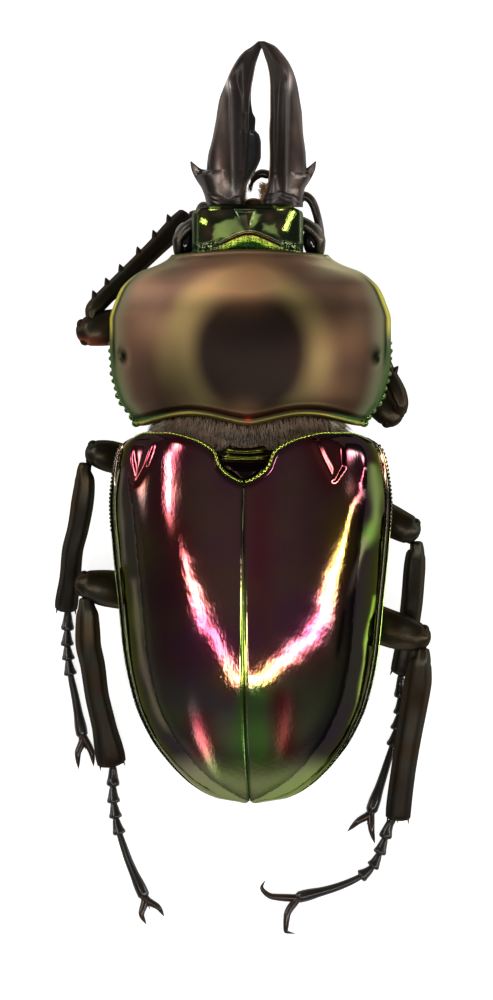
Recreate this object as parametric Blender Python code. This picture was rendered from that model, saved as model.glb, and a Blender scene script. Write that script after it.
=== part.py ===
# Rainbow stag beetle: a large male, life size, standing on its own feet.
# Metres, +Z up, the head towards +Y, the origin on the floor under the middle of the model.
# The shapes below are worked out in millimetres and scaled by MM when each mesh is made.

import math

import bmesh
import bpy
import numpy as np
from mathutils import Matrix, Vector

MM = 0.001

# Driving dimensions, in millimetres
GAP = 0.3                    # clear space between neighbouring parts
BODY_X = 0.45                # middle of the body, across the frame
LEAN_HIGH = 6.5              # height that the slight lean of the body turns about
LEAN_HIND = 0.09             # lean of the wing cases and abdomen to the left, per unit of height
LEAN_FORE = 0.05             # the same for the pronotum
PRONOTUM_FRONT = 18.3        # front margin at the middle
PRONOTUM_REAR = 4.8          # rear margin at the middle
PRONOTUM_SIDE_FRONT = 17.75  # front end of its side margin
PRONOTUM_CORNER = 8.6        # half width at the rear corners
PRONOTUM_NECK = 5.8          # half width at the front corners
HEAD_FRONT = 21.4
HEAD_X = 0.34
HEAD_HALF_WIDTH = 4.28
BEAD_COUNT = 11              # beads along each side of the pronotum, from its rear corner
BEAD_FRONT = 10.6
BEAD_SIZE = 0.3
WING_SHELL = 0.6             # thickness of a wing case
WING_BASE = 8.9              # half width of the two wing cases at their front
WING_SIDE_Y = 3.9            # front end of a wing case at its side
WING_SEAM_Y = 0.75           # and at the suture
WING_APEX = -23.47
WING_NOTCH = 0.15            # how far the suture ends before the apex
WAIST_HALF_WIDTH = 7.1
STERNUM_FRONT = 2.9
STERNUM_REAR = -8.3
ABDOMEN_REAR = -22.0
BELLY_PLATES = 5
MANDIBLE_ROOT = 21.75
MANDIBLE_TIP = 33.5
MANDIBLE_Z = 7.0
MANDIBLE_RISE = 6.0
FLOOR = 0.0

# Outlines as (place along Y, value) pairs, from the rear forwards
WING_WIDTH = ((-23.47, 0.6), (-23.1, 2.7), (-22.2, 4.39), (-21.3, 5.43), (-20.4, 6.26), (-18.6, 7.57),
              (-15.9, 8.77), (-12.3, 9.56), (-8.25, 9.98), (-4.65, 10.35), (-1.05, 10.58), (1.65, 10.28),
              (3.45, 9.7), (WING_SIDE_Y, WING_BASE))
WING_EDGE_Z = ((-23.5, 5.4), (-21.0, 5.6), (-16.0, 5.9), (-8.0, 6.1), (0.0, 6.3), (4.0, 6.8))
WING_DOME = ((-23.5, 1.1), (-22.3, 2.4), (-21.0, 3.5), (-17.0, 5.3), (-12.0, 6.3), (-5.0, 6.6), (0.5, 6.0),
             (4.3, 5.0))
WING_FRONT = ((0.0, WING_SEAM_Y), (1.9, 1.65), (3.2, 2.7), (4.5, 3.75), (6.0, 4.2), (7.5, 4.3),
              (WING_BASE, WING_SIDE_Y))
PRONOTUM_WIDTH = ((4.8, 8.55), (5.3, 8.7), (6.0, 9.25), (6.6, 9.7), (8.0, 10.2), (9.3, 10.45),
(11.3, 10.55),
                  (12.8, 10.55), (14.2, 10.15), (15.2, 9.7), (16.0, 8.95), (16.5, 8.2), (17.0, 6.9),
                  (17.4, 6.2),
                  (17.8, PRONOTUM_NECK))
PRONOTUM_EDGE_Z = ((4.8, 7.0), (9.0, 6.6), (14.0, 6.7), (18.3, 7.4))
PRONOTUM_DOME = ((4.8, 3.4), (6.5, 4.5), (10.5, 5.3), (14.0, 5.0), (17.0, 3.6), (18.3, 2.5))
PRONOTUM_EAVES = 1.1         # how far its underside lies below its side edge, at the middle
PROSTERNUM = ((6.2, 5.6, 1.5), (7.2, 6.6, 2.3), (9.5, 7.3, 2.9), (12.5, 7.4, 3.0), (15.2, 6.4, 2.6),
              (16.6, 5.2, 1.7))
BELLY_DEPTH = ((-22.4, 0.9), (-21.0, 1.7), (-17.0, 2.7), (-10.0, 3.5), (0.0, 3.6), (3.5, 3.3))

# Mandibles: (place along Y, outer edge, inner edge) across the frame
LEFT_MANDIBLE = ((21.75, -2.59, 0.04), (22.8, -2.74, 0.19), (23.85, -2.85, 0.79), (25.05, -2.74, 1.24),
                 (25.95, -2.51, 1.24), (26.6, -2.36, 1.1), (27.0, -2.29, 0.79), (27.75, -2.14, 0.83),
                 (28.3, -2.06, 0.6), (29.25, -1.88, 0.49), (30.0, -1.61, 0.53), (30.9, -1.24, 0.68),
                 (31.8, -0.79, 0.86), (32.7, -0.11, 1.16), (33.15, 0.56, 1.31), (33.5, 1.0, 1.25))
RIGHT_MANDIBLE = ((21.75, 4.39, 1.3), (22.8, 4.54, 1.69), (23.85, 4.65, 1.84), (25.05, 4.61, 1.88),
                  (26.85, 4.39, 1.84), (28.2, 4.31, 1.91), (29.1, 4.16, 1.91), (30.0, 4.01, 1.91),
                  (30.9, 3.79, 1.86), (31.8, 3.41, 1.69), (32.25, 3.11, 1.54), (32.7, 2.74, 1.39),
                  (33.15, 2.29, 1.2), (33.5, 1.5, 1.0))
PRONG = ((-2.29, 22.4, 7.0, 0.98, 0.8), (-3.11, 23.4, 7.2, 0.56, 0.45), (-3.68, 24.0, 7.4, 0.28, 0.25),
         (-4.05, 24.42, 7.6, 0.07, 0.07))
PRONG_MIRROR_X = 0.656       # the two prongs mirror about this line

# Legs: stations of (x, y, z, half width, half height), from the body outwards
LEGS = {
    "left_front": {
        "coxa": (-1.75, 12.2),
        "femur": ((-3.65, 12.3, 2.0, 0.5, 0.45), (-5.5, 12.4, 2.5, 1.05, 0.75),
                  (-8.0, 12.4, 3.3, 1.35, 0.85), (-10.2, 12.2, 4.0, 1.35, 0.85),
                  (-11.8, 11.9, 4.3, 1.1, 0.75), (-12.4, 11.8, 4.3, 0.6, 0.5)),
        "tibia": ((-11.45, 13.45, 4.35, 0.45, 0.45), (-11.0, 13.95, 4.2, 0.62, 0.5),
                  (-9.3, 15.65, 3.4, 0.62, 0.5), (-6.9, 18.0, 2.3, 0.66, 0.5),
                  (-4.9, 20.0, 1.4, 0.78, 0.5), (-4.3, 20.6, 1.15, 0.7, 0.45)),
        "tarsus": ((-3.75, 20.75, 0.65), (-3.0, 20.2, 0.42), (-2.3, 19.0, 0.36), (-1.6, 17.4, 0.34),
                   (-1.2, 15.6, 0.36)),
        "claws": (((-1.2, 15.3, 0.35), (-1.5, 14.6, 0.5), (-1.9, 14.0, 0.3)),
                  ((-1.0, 15.3, 0.35), (-0.6, 14.6, 0.5), (-0.3, 14.0, 0.3))),
        "spines": (0.12, 0.24, 0.4, 0.58, 0.76, 0.92), "spine_side": 1, "spine": 0.42, "spurs": 1},
    "right_front": {
        "coxa": (2.65, 12.2),
        "femur": ((4.5, 11.8, 1.85, 0.5, 0.45), (6.0, 10.8, 2.1, 1.0, 0.7),
                  (8.0, 8.9, 2.5, 1.25, 0.75), (9.8, 7.0, 2.9, 1.25, 0.75),
                  (10.9, 5.75, 3.1, 1.1, 0.7), (11.4, 5.1, 3.1, 0.6, 0.5)),
        "tibia": ((11.75, 6.4, 4.7, 0.5, 0.45), (11.45, 7.3, 4.65, 0.66, 0.5),
                  (10.5, 9.2, 4.1, 0.62, 0.5), (9.85, 11.2, 3.1, 0.64, 0.5),
                  (9.0, 13.6, 1.7, 0.76, 0.5), (8.5, 15.0, 1.15, 0.7, 0.45)),
        "tarsus": ((8.0, 15.7, 0.65), (7.1, 16.0, 0.42), (5.8, 16.5, 0.36), (4.3, 16.9, 0.34),
                   (2.9, 17.0, 0.36)),
        "claws": (((2.6, 17.1, 0.35), (1.9, 17.5, 0.5), (1.3, 17.9, 0.3)),
                  ((2.6, 16.9, 0.35), (1.9, 16.4, 0.5), (1.4, 16.0, 0.3))),
        "spines": (0.3, 0.45, 0.6, 0.75, 0.9), "spine_side": -1, "spine": 0.4, "spurs": 1},
    "left_middle": {
        "coxa": (-1.85, 1.3),
        "femur": ((-3.7, 1.3, 1.95, 0.5, 0.45), (-5.5, 1.6, 2.4, 0.95, 0.75),
                  (-8.0, 2.0, 3.3, 1.15, 0.85), (-10.0, 2.5, 4.1, 1.2, 0.85),
                  (-11.2, 2.75, 4.5, 1.0, 0.8), (-11.75, 2.8, 4.55, 0.55, 0.55)),
        "tibia": ((-12.05, 1.4, 4.5, 0.5, 0.5), (-12.0, 0.75, 4.4, 0.7, 0.55),
                  (-12.19, -1.05, 3.9, 0.8, 0.6), (-12.5, -2.85, 3.2, 0.76, 0.6),
                  (-12.94, -4.65, 2.6, 0.75, 0.58), (-13.1, -6.45, 1.9, 0.75, 0.55),
                  (-13.4, -8.6, 1.1, 0.82, 0.5), (-13.42, -9.0, 0.95, 0.75, 0.42)),
        "tarsus": ((-13.3, -9.5, 0.6), (-13.35, -11.3, 0.4), (-13.2, -13.2, 0.36),
                   (-12.7, -15.8, 0.36), (-12.2, -18.6, 0.4)),
        "claws": (((-12.2, -18.8, 0.4), (-12.55, -19.9, 0.55), (-12.5, -21.0, 0.25)),
                  ((-12.0, -18.8, 0.4), (-11.5, -19.8, 0.55), (-11.35, -20.8, 0.25))),
        "spines": (), "spine_side": -1, "spine": 0.0, "spurs": 3},
    "right_middle": {
        "coxa": (2.75, 1.3),
        "femur": ((4.6, 1.1, 1.95, 0.5, 0.45), (6.2, 0.2, 2.35, 0.95, 0.75),
                  (8.6, -0.9, 3.2, 1.15, 0.85), (10.8, -2.2, 4.0, 1.2, 0.85),
                  (12.3, -2.95, 4.4, 1.1, 0.8), (12.95, -3.15, 4.45, 0.6, 0.55)),
        "tibia": ((12.95, -4.5, 4.2, 0.5, 0.5), (12.85, -4.9, 4.05, 0.7, 0.55),
                  (12.75, -6.2, 3.3, 0.78, 0.6), (12.6, -8.2, 2.4, 0.78, 0.58),
                  (12.3, -10.6, 1.7, 0.75, 0.55), (11.9, -13.2, 1.15, 0.8, 0.5),
                  (11.75, -13.8, 1.0, 0.72, 0.42)),
        "tarsus": ((11.75, -14.35, 0.6), (11.75, -16.0, 0.4), (11.45, -18.0, 0.36),
                   (10.6, -21.0, 0.36), (9.5, -24.3, 0.4)),
        "claws": (((9.4, -24.4, 0.4), (8.6, -24.9, 0.55), (7.75, -25.7, 0.25)),
                  ((9.5, -24.5, 0.4), (9.55, -25.5, 0.55), (9.8, -26.6, 0.25))),
        "spines": (), "spine_side": 1, "spine": 0.0, "spurs": 3},
    "left_hind": {
        "coxa": (-1.85, -7.1),
        "femur": ((-3.7, -7.3, 1.95, 0.5, 0.45), (-5.5, -7.5, 2.35, 1.05, 0.75),
                  (-8.0, -7.6, 3.2, 1.45, 0.9), (-10.2, -7.4, 4.0, 1.4, 0.9),
                  (-11.8, -7.1, 4.45, 1.1, 0.85), (-12.5, -6.95, 4.5, 0.6, 0.55)),
        "tibia": ((-11.85, -8.75, 4.45, 0.55, 0.5), (-11.8, -9.4, 4.3, 0.8, 0.6),
                  (-11.75, -11.4, 3.8, 0.9, 0.62), (-11.4, -13.2, 3.2, 0.88, 0.6),
                  (-11.1, -15.4, 2.5, 0.85, 0.58), (-10.6, -17.6, 1.8, 0.87, 0.55),
                  (-10.1, -20.0, 1.1, 1.05, 0.5), (-10.0, -20.6, 0.95, 1.0, 0.42)),
        "tarsus": ((-9.9, -21.1, 0.6), (-9.9, -22.6, 0.4), (-9.7, -24.6, 0.36), (-8.9, -27.4, 0.36),
                   (-7.5, -30.7, 0.4)),
        "claws": (((-7.5, -30.9, 0.4), (-7.75, -31.9, 0.55), (-7.4, -32.7, 0.25)),
                  ((-7.3, -30.9, 0.4), (-6.5, -31.4, 0.55), (-6.05, -32.1, 0.25))),
        "spines": (), "spine_side": -1, "spine": 0.0, "spurs": 3},
    "right_hind": {
        "coxa": (2.75, -7.1),
        "femur": ((4.6, -7.5, 1.95, 0.5, 0.45), (6.4, -8.4, 2.3, 1.05, 0.75),
                  (8.8, -9.6, 3.2, 1.45, 0.9), (11.2, -10.5, 4.0, 1.4, 0.9),
                  (13.0, -11.0, 4.45, 1.1, 0.85), (13.75, -11.1, 4.5, 0.6, 0.55)),
        "tibia": ((13.35, -12.55, 4.5, 0.55, 0.5), (13.2, -13.0, 4.35, 0.8, 0.6),
                  (13.0, -14.6, 3.8, 0.98, 0.62), (12.75, -16.2, 3.2, 0.95, 0.6),
                  (12.3, -18.8, 2.5, 0.9, 0.58), (11.9, -21.4, 1.8, 0.88, 0.55),
                  (11.6, -23.9, 1.1, 0.9, 0.5), (11.55, -24.7, 0.95, 0.85, 0.42)),
        "tarsus": ((10.9, -25.2, 0.6), (10.4, -26.7, 0.4), (9.5, -28.5, 0.36), (7.2, -29.8, 0.36),
                   (3.9, -30.7, 0.4)),
        "claws": (((3.7, -30.7, 0.4), (2.1, -30.6, 0.6), (1.3, -29.9, 0.45), (1.55, -29.4, 0.25)),
                  ((3.9, -30.9, 0.4), (3.2, -32.0, 0.6), (3.1, -33.2, 0.45), (3.8, -33.4, 0.25))),
        "spines": (), "spine_side": 1, "spine": 0.0, "spurs": 3},
}
COXA_SIZE = (1.5, 1.0, 0.85)
COXA_Z = {"front": 2.75, "middle": 2.6, "hind": 2.6}

# Colours as (red, green, blue), roughness and metallic value
FINISHES = {
    "bronze": ((0.19, 0.12, 0.05), 0.3, 0.9),
    "wine": ((0.09, 0.01, 0.03), 0.12, 0.95),
    "green": ((0.05, 0.16, 0.03), 0.22, 0.9),
    "horn": ((0.05, 0.033, 0.03), 0.35, 0.6),
    "olive": ((0.045, 0.04, 0.018), 0.3, 0.7),
    "brown": ((0.05, 0.022, 0.012), 0.35, 0.4),
    "black": ((0.006, 0.006, 0.007), 0.08, 0.0),
    "amber": ((0.3, 0.12, 0.02), 0.6, 0.0),
}


def clear_scene():
    for item in list(bpy.data.objects):
        bpy.data.objects.remove(item, do_unlink=True)


def named_collection(name):
    collection = bpy.data.collections.new(name)
    bpy.context.scene.collection.children.link(collection)
    return collection


def material(finish):
    if finish in bpy.data.materials:
        return bpy.data.materials[finish]
    colour, roughness, metallic = FINISHES[finish]
    made = bpy.data.materials.new(finish)
    made.use_nodes = True
    shader = made.node_tree.nodes["Principled BSDF"]
    shader.inputs["Base Color"].default_value = (*colour, 1.0)
    shader.inputs["Roughness"].default_value = roughness
    shader.inputs["Metallic"].default_value = metallic
    return made


def smooth_value(place, table):
    """Value at each place on a smooth curve through the table's points that never overshoots them."""
    xs, ys = (np.array(column, dtype=float) for column in zip(*table))
    place = np.clip(np.asarray(place, dtype=float), xs[0], xs[-1])
    step = np.diff(xs)
    slope = np.diff(ys) / step
    product = slope[:-1] * slope[1:]
    total = slope[:-1] + slope[1:]
    inner = np.where(product > 0, 2 * product / np.where(total == 0, 1, total), 0.0)
    tangent = np.concatenate(([slope[0]], inner, [slope[-1]]))
    i = np.clip(np.searchsorted(xs, place) - 1, 0, len(step) - 1)
    t = (place - xs[i]) / step[i]
    rise = t * t * (3 - 2 * t)
    return (ys[i] * (1 - rise) + ys[i + 1] * rise
            + step[i] * t * (1 - t) * ((1 - t) * tangent[i] - t * tangent[i + 1]))


def new_object(name, points, faces, finish, collection):
    """A closed mesh from points in millimetres, its faces turned outwards."""
    mesh = bpy.data.meshes.new(name)
    mesh.from_pydata([tuple(point) for point in np.asarray(points) * MM], [], faces)
    work = bmesh.new()
    work.from_mesh(mesh)
    bmesh.ops.recalc_face_normals(work, faces=work.faces)
    work.to_mesh(mesh)
    work.free()
    mesh.materials.append(material(finish))
    made = bpy.data.objects.new(name, mesh)
    collection.objects.link(made)
    return made


def loft(name, rings, finish, collection):
    """Closed rings of equal count joined one to the next, with a flat cap at each end."""
    count, sides = rings.shape[:2]
    faces = []
    for row in range(count - 1):
        for k in range(sides):
            a = row * sides + k
            b = row * sides + (k + 1) % sides
            faces.append((a, b, b + sides, a + sides))
    faces.append(tuple(range(sides)))
    faces.append(tuple(range((count - 1) * sides, count * sides)))
    return new_object(name, rings.reshape(-1, 3), faces, finish, collection)


def plate(name, top, bottom, finish, collection):
    """A solid between two sheets of points that share one grid, walled round its border."""
    rows, columns = top.shape[:2]
    under = rows * columns
    faces = []
    for i in range(rows - 1):
        for j in range(columns - 1):
            a = i * columns + j
            quad = (a, a + 1, a + columns + 1, a + columns)
            faces.append(quad)
            faces.append(tuple(under + corner for corner in reversed(quad)))
    border = ([j for j in range(columns)]
              + [i * columns + columns - 1 for i in range(1, rows)]
              + [(rows - 1) * columns + j for j in range(columns - 2, -1, -1)]
              + [i * columns for i in range(rows - 2, 0, -1)])
    for a, b in zip(border, border[1:] + border[:1]):
        faces.append((b, a, under + a, under + b))
    points = np.concatenate((top.reshape(-1, 3), bottom.reshape(-1, 3)))
    return new_object(name, points, faces, finish, collection)


def path_rings(stations, sides, floor=None):
    """Elliptical rings across a path of (x, y, z, half width, half height) stations."""
    table = np.array(stations, dtype=float)
    centre = table[:, :3]
    along = np.gradient(centre, axis=0)
    along /= np.linalg.norm(along, axis=1)[:, None]
    side = np.cross(along, (0.0, 0.0, 1.0))
    side /= np.linalg.norm(side, axis=1)[:, None]
    up = np.cross(side, along)
    angle = np.linspace(0, 2 * math.pi, sides, endpoint=False) + math.pi / sides
    rings = (centre[:, None] + table[:, None, 3:4] * np.cos(angle)[None, :, None] * side[:, None]
             + table[:, None, 4:5] * np.sin(angle)[None, :, None] * up[:, None])
    if floor is not None:
        rings[:, :, 2] = np.maximum(rings[:, :, 2], floor)
    return rings


def dense_path(points, count):
    """Points on a smooth curve through the given ones, evenly spread by distance."""
    points = np.array(points, dtype=float)
    reach = np.concatenate(([0.0], np.cumsum(np.linalg.norm(np.diff(points[:, :3], axis=0), axis=1))))
    place = np.linspace(0, reach[-1], count)
    columns = [smooth_value(place, list(zip(reach, points[:, k]))) for k in range(points.shape[1])]
    return np.stack(columns, axis=1)


def tapered_tube(name, points, radii, finish, collection, resolution=2):
    """A round tapering tube: a curve with a bevel and filled caps, turned into a mesh."""
    curve = bpy.data.curves.new(name, "CURVE")
    curve.dimensions = "3D"
    curve.bevel_depth = MM
    curve.bevel_resolution = resolution
    curve.use_fill_caps = True
    spline = curve.splines.new("POLY")
    spline.points.add(len(points) - 1)
    for point, place, radius in zip(spline.points, points, radii):
        point.co = (place[0] * MM, place[1] * MM, place[2] * MM, 1.0)
        point.radius = radius
    guide = bpy.data.objects.new(name, curve)
    collection.objects.link(guide)
    bpy.context.view_layer.update()
    mesh = bpy.data.meshes.new_from_object(guide.evaluated_get(bpy.context.evaluated_depsgraph_get()))
    bpy.data.objects.remove(guide)
    work = bmesh.new()
    work.from_mesh(mesh)
    bmesh.ops.remove_doubles(work, verts=work.verts, dist=0.01 * MM)
    bmesh.ops.recalc_face_normals(work, faces=work.faces)
    work.to_mesh(mesh)
    work.free()
    mesh.materials.clear()
    mesh.materials.append(material(finish))
    made = bpy.data.objects.new(name, mesh)
    collection.objects.link(made)
    return made


def ellipsoid(name, centre, size, finish, collection, segments=12, rings=8, turn=0.0):
    """A sphere scaled to its three half sizes, turned about Z, with its centre at the given place."""
    mesh = bpy.data.meshes.new(name)
    work = bmesh.new()
    bmesh.ops.create_uvsphere(work, u_segments=segments, v_segments=rings, radius=1.0)
    place = (Matrix.Translation(Vector(centre) * MM) @ Matrix.Rotation(turn, 4, "Z")
             @ Matrix.Diagonal((*(Vector(size) * MM), 1.0)))
    bmesh.ops.transform(work, matrix=place, verts=work.verts)
    work.to_mesh(mesh)
    work.free()
    mesh.materials.append(material(finish))
    made = bpy.data.objects.new(name, mesh)
    collection.objects.link(made)
    return made


def cone(name, root, tip, radius, finish, collection, segments=5):
    """A small pointed spine from its root to its tip."""
    root = Vector(root) * MM
    tip = Vector(tip) * MM
    mesh = bpy.data.meshes.new(name)
    work = bmesh.new()
    bmesh.ops.create_cone(work, cap_ends=True, segments=segments, radius1=radius * MM, radius2=0.04 * MM,
                          depth=(tip - root).length)
    turn = (tip - root).to_track_quat("Z", "Y").to_matrix().to_4x4()
    bmesh.ops.transform(work, matrix=Matrix.Translation((root + tip) / 2) @ turn, verts=work.verts)
    work.to_mesh(mesh)
    work.free()
    mesh.materials.append(material(finish))
    made = bpy.data.objects.new(name, mesh)
    collection.objects.link(made)
    return made


def keep_largest(mesh):
    """Drops every loose scrap and sealed hollow, so that one closed surface is left."""
    work = bmesh.new()
    work.from_mesh(mesh)
    unseen = set(work.verts)
    groups = []
    while unseen:
        group = {unseen.pop()}
        front = list(group)
        while front:
            for edge in front.pop().link_edges:
                for vertex in edge.verts:
                    if vertex in unseen:
                        unseen.discard(vertex)
                        group.add(vertex)
                        front.append(vertex)
        groups.append(group)
    if len(groups) > 1:
        largest = max(groups, key=len)
        scraps = [vertex for group in groups if group is not largest for vertex in group]
        bmesh.ops.delete(work, geom=scraps, context="VERTS")
    work.to_mesh(mesh)
    work.free()


def reach(items):
    """Lowest and highest corner of a group of objects' points."""
    points = np.array([tuple(vertex.co) for item in items for vertex in item.data.vertices])
    return np.concatenate((points.min(axis=0), points.max(axis=0)))


def fuse(target, pieces):
    """Joins the pieces to the target in one union, applied, and removes them.
    Where the exact solver loses a piece, the manifold one makes the union instead."""
    if not pieces:
        return target
    whole = reach([target] + pieces)
    joined = bpy.data.collections.new(target.name + "_pieces")
    bpy.context.scene.collection.children.link(joined)
    for piece in pieces:
        for holder in list(piece.users_collection):
            holder.objects.unlink(piece)
        joined.objects.link(piece)
    union = target.modifiers.new("union", "BOOLEAN")
    union.operation = "UNION"
    union.operand_type = "COLLECTION"
    union.collection = joined
    for solver in ("EXACT", "MANIFOLD"):
        union.solver = solver
        bpy.context.view_layer.update()
        mesh = bpy.data.meshes.new_from_object(target.evaluated_get(bpy.context.evaluated_depsgraph_get()))
        keep_largest(mesh)
        points = np.array([tuple(vertex.co) for vertex in mesh.vertices])
        if np.abs(np.concatenate((points.min(axis=0), points.max(axis=0))) - whole).max() < 0.05 * MM:
            break
        print(target.name, "lost a piece with", solver)
    target.modifiers.clear()
    target.data = mesh
    for piece in list(joined.objects):
        bpy.data.objects.remove(piece)
    bpy.data.collections.remove(joined)
    return target


def cut(target, cutter):
    """Leaves a seat in the target where the cutter lies."""
    cutter.hide_render = True
    cutter.display_type = "WIRE"
    seat = target.modifiers.new("seat", "BOOLEAN")
    seat.operation = "DIFFERENCE"
    seat.object = cutter
    seat.solver = "EXACT"


def leaned(points, lean, middle=BODY_X):
    """Moves points to the body's middle line and leans them to the left with their height."""
    points = points.copy()
    points[..., 0] += middle - lean * (points[..., 2] - LEAN_HIGH)
    return points


def dome(v, flat=2.5, power=0.55):
    return np.clip(1 - np.abs(v) ** flat, 0, 1) ** power


def wing_sheet(s, v, inset=0.0):
    """Points of one wing case: s runs from base to apex, v from the suture to the side."""
    front = smooth_value(WING_BASE * v, WING_FRONT)
    side_y = WING_SIDE_Y + (WING_APEX - WING_SIDE_Y) * s
    seam_y = WING_SEAM_Y + (WING_APEX + WING_NOTCH - WING_SEAM_Y) * s
    shape = (front - WING_SEAM_Y) / (WING_SIDE_Y - WING_SEAM_Y)
    y = seam_y + (side_y - seam_y) * shape
    half = np.maximum(smooth_value(side_y, WING_WIDTH) - inset, 0.25)
    x = GAP / 2 + v * (half - GAP / 2)
    roll = 1 - 0.24 * np.exp(-(front - y) ** 2)
    high = np.maximum(smooth_value(y, WING_DOME) * roll - inset, 0.2)
    shoulder = 0.4 * np.exp(-((x - 9.15) / 0.75) ** 2 - ((y - 2.0) / 1.7) ** 2)
    z = smooth_value(side_y, WING_EDGE_Z) + high * dome(v, 2.6, 0.46) - inset * 0.6 * v ** 6 + shoulder
    return np.stack((x, y + inset * s ** 12, z), axis=-1)


def wing_case(side, parts):
    rows, columns = 19, 11
    s = 1 - (1 - np.linspace(0, 1, rows)) ** 1.35
    v = 1 - (1 - np.linspace(0, 1, columns)) ** 1.45
    grid_s, grid_v = np.meshgrid(s, v, indexing="ij")
    top = wing_sheet(grid_s, grid_v)
    bottom = wing_sheet(grid_s, grid_v, WING_SHELL)
    mirror = np.array((-1.0 if side == "left" else 1.0, 1.0, 1.0))
    top, bottom = (leaned(sheet * mirror, LEAN_HIND) for sheet in (top, bottom))
    return plate("elytron_" + side, top, bottom, "wine", parts)


def pronotum_margin_front(x):
    return PRONOTUM_FRONT - 0.55 * (np.abs(x) / PRONOTUM_NECK) ** 2


def pronotum_margin_rear(x):
    """Rear margin: lowest at the middle, then forward, and back again at the corners."""
    return PRONOTUM_REAR + 0.72 * np.sin(np.clip(np.abs(x) / PRONOTUM_CORNER, 0, 1) * math.pi) ** 1.5


def pronotum_sheet(u, v):
    """Points over the pronotum: u runs from rear to front, v from -1 on the left to 1 on the right."""
    side_y = PRONOTUM_REAR + (PRONOTUM_SIDE_FRONT - PRONOTUM_REAR) * u
    half = smooth_value(side_y, PRONOTUM_WIDTH)
    rear = pronotum_margin_rear(v * PRONOTUM_CORNER)
    front = pronotum_margin_front(v * PRONOTUM_NECK)
    y = rear + (front - rear) * u
    margin = 1 - 0.12 * np.exp(-((y - rear) / 0.7) ** 2) - 0.16 * np.exp(-((front - y) / 0.8) ** 2)
    rim = 0.14 * np.exp(-((y - rear - 0.2) / 0.14) ** 2) - 0.12 * np.exp(-((y - rear - 0.55) / 0.16) ** 2)
    pit = 0.3 * np.exp(-((np.abs(v) - 0.9) / 0.05) ** 2 - ((y - 10.0) / 0.6) ** 2)
    high = smooth_value(y, PRONOTUM_DOME) * dome(v, 2.3, 0.6) * margin
    z = smooth_value(y, PRONOTUM_EDGE_Z) + high + rim - pit
    return np.stack((v * half, y, z), axis=-1)


def pronotum(parts):
    u = np.concatenate(((0.0, 0.016, 0.042), np.linspace(0.09, 0.93, 12), (0.97, 1.0)))
    v = np.sin(np.linspace(-1, 1, 21) * math.pi / 2)
    grid_u, grid_v = np.meshgrid(u, v, indexing="ij")
    top = pronotum_sheet(grid_u, grid_v)
    bottom = top.copy()
    bottom[..., 0] *= 0.955
    bottom[..., 2] = smooth_value(top[..., 1], PRONOTUM_EDGE_Z) - PRONOTUM_EAVES + 0.5 * grid_v ** 2
    made = plate("pronotum", leaned(top, LEAN_FORE), leaned(bottom, LEAN_FORE), "bronze", parts)
    beads = []
    for sign in (-1, 1):
        for k in range(BEAD_COUNT):
            y = 5.3 + (BEAD_FRONT - 5.3) * (k / (BEAD_COUNT - 1)) ** 1.1
            size = BEAD_SIZE * (1.0, 0.85, 1.05, 0.9)[k % 4]
            x = sign * (float(smooth_value(y, PRONOTUM_WIDTH)) - 0.06)
            place = leaned(np.array((x, y, float(smooth_value(y, PRONOTUM_EDGE_Z)) - 0.12)), LEAN_FORE)
            beads.append(ellipsoid("bead", place, (size, size, size), "green", parts, 5, 3, 0.4 * k))
    return fuse(made, beads)


def belly_ring(y, half, side_z, high, low, count=24):
    """One closed section of the body: a domed back over a shallower belly."""
    angle = np.linspace(0, 2 * math.pi, count, endpoint=False)
    v = np.cos(angle)
    upper = np.sin(angle) >= 0
    z = np.where(upper, side_z + high * dome(v), side_z - low * dome(v, 2.0, 0.6))
    return np.stack((v * half, np.full(count, y), z), axis=-1)


def belly_section(y, high, low):
    half = float(smooth_value(y, WING_WIDTH)) - 1.25
    side_z = float(smooth_value(y, WING_EDGE_Z)) - 0.15
    return belly_ring(y, half, side_z, high, float(smooth_value(y, BELLY_DEPTH)) + low)


def abdomen(parts):
    length = (ABDOMEN_REAR - STERNUM_REAR + GAP) / BELLY_PLATES
    rings = []
    for k in range(BELLY_PLATES):
        for share, low in ((0.0, -0.12), (0.1, 0.1), (0.85, 0.06)):
            y = STERNUM_REAR - GAP + length * (k + share)
            rings.append(belly_section(y, float(smooth_value(y, WING_DOME)) - 1.25, low))
    rings.append(belly_section(ABDOMEN_REAR, float(smooth_value(ABDOMEN_REAR, WING_DOME)) - 1.25, 0.0))
    rings = np.array(rings)
    tail = rings[-1].copy()
    tail[:, 0] *= 0.45
    tail[:, 1] -= 0.35
    tail[:, 2] = 0.45 * tail[:, 2] + 0.55 * tail[:, 2].mean()
    rings = np.concatenate((rings, tail[None]))
    return loft("abdomen", leaned(rings, LEAN_HIND), "olive", parts)


def metasternum(parts):
    high_table = ((-8.3, 5.0), (-2.5, 5.1), (-0.6, 4.3), (0.3, 2.5), (2.9, 2.1))
    rings = []
    for y in np.linspace(STERNUM_FRONT, STERNUM_REAR, 13):
        rings.append(belly_section(y, float(smooth_value(y, high_table)), 0.0))
    return loft("metasternum", leaned(np.array(rings), LEAN_HIND), "olive", parts)


def mesothorax(parts):
    """The waist between the pronotum and the wing cases."""
    v = np.linspace(-1, 1, 15)
    x = v * WAIST_HALF_WIDTH
    front = pronotum_margin_rear(x) - GAP
    rear = np.maximum(smooth_value(np.abs(x), WING_FRONT) + GAP, STERNUM_FRONT + GAP)
    rows = []
    under = []
    for share in (0.0, 0.5, 1.0):
        y = front + (rear - front) * share
        z = 6.6 + 3.0 * dome(v, 3.0, 0.5)
        rows.append(np.stack((x, y, z), axis=-1))
        under.append(np.stack((x * 0.93, y, 6.1 - 3.0 * dome(v, 2.0, 0.6)), axis=-1))
    top, bottom = (leaned(np.array(sheet), LEAN_HIND) for sheet in (rows, under))
    return plate("mesothorax", top, bottom, "black", parts)


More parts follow.
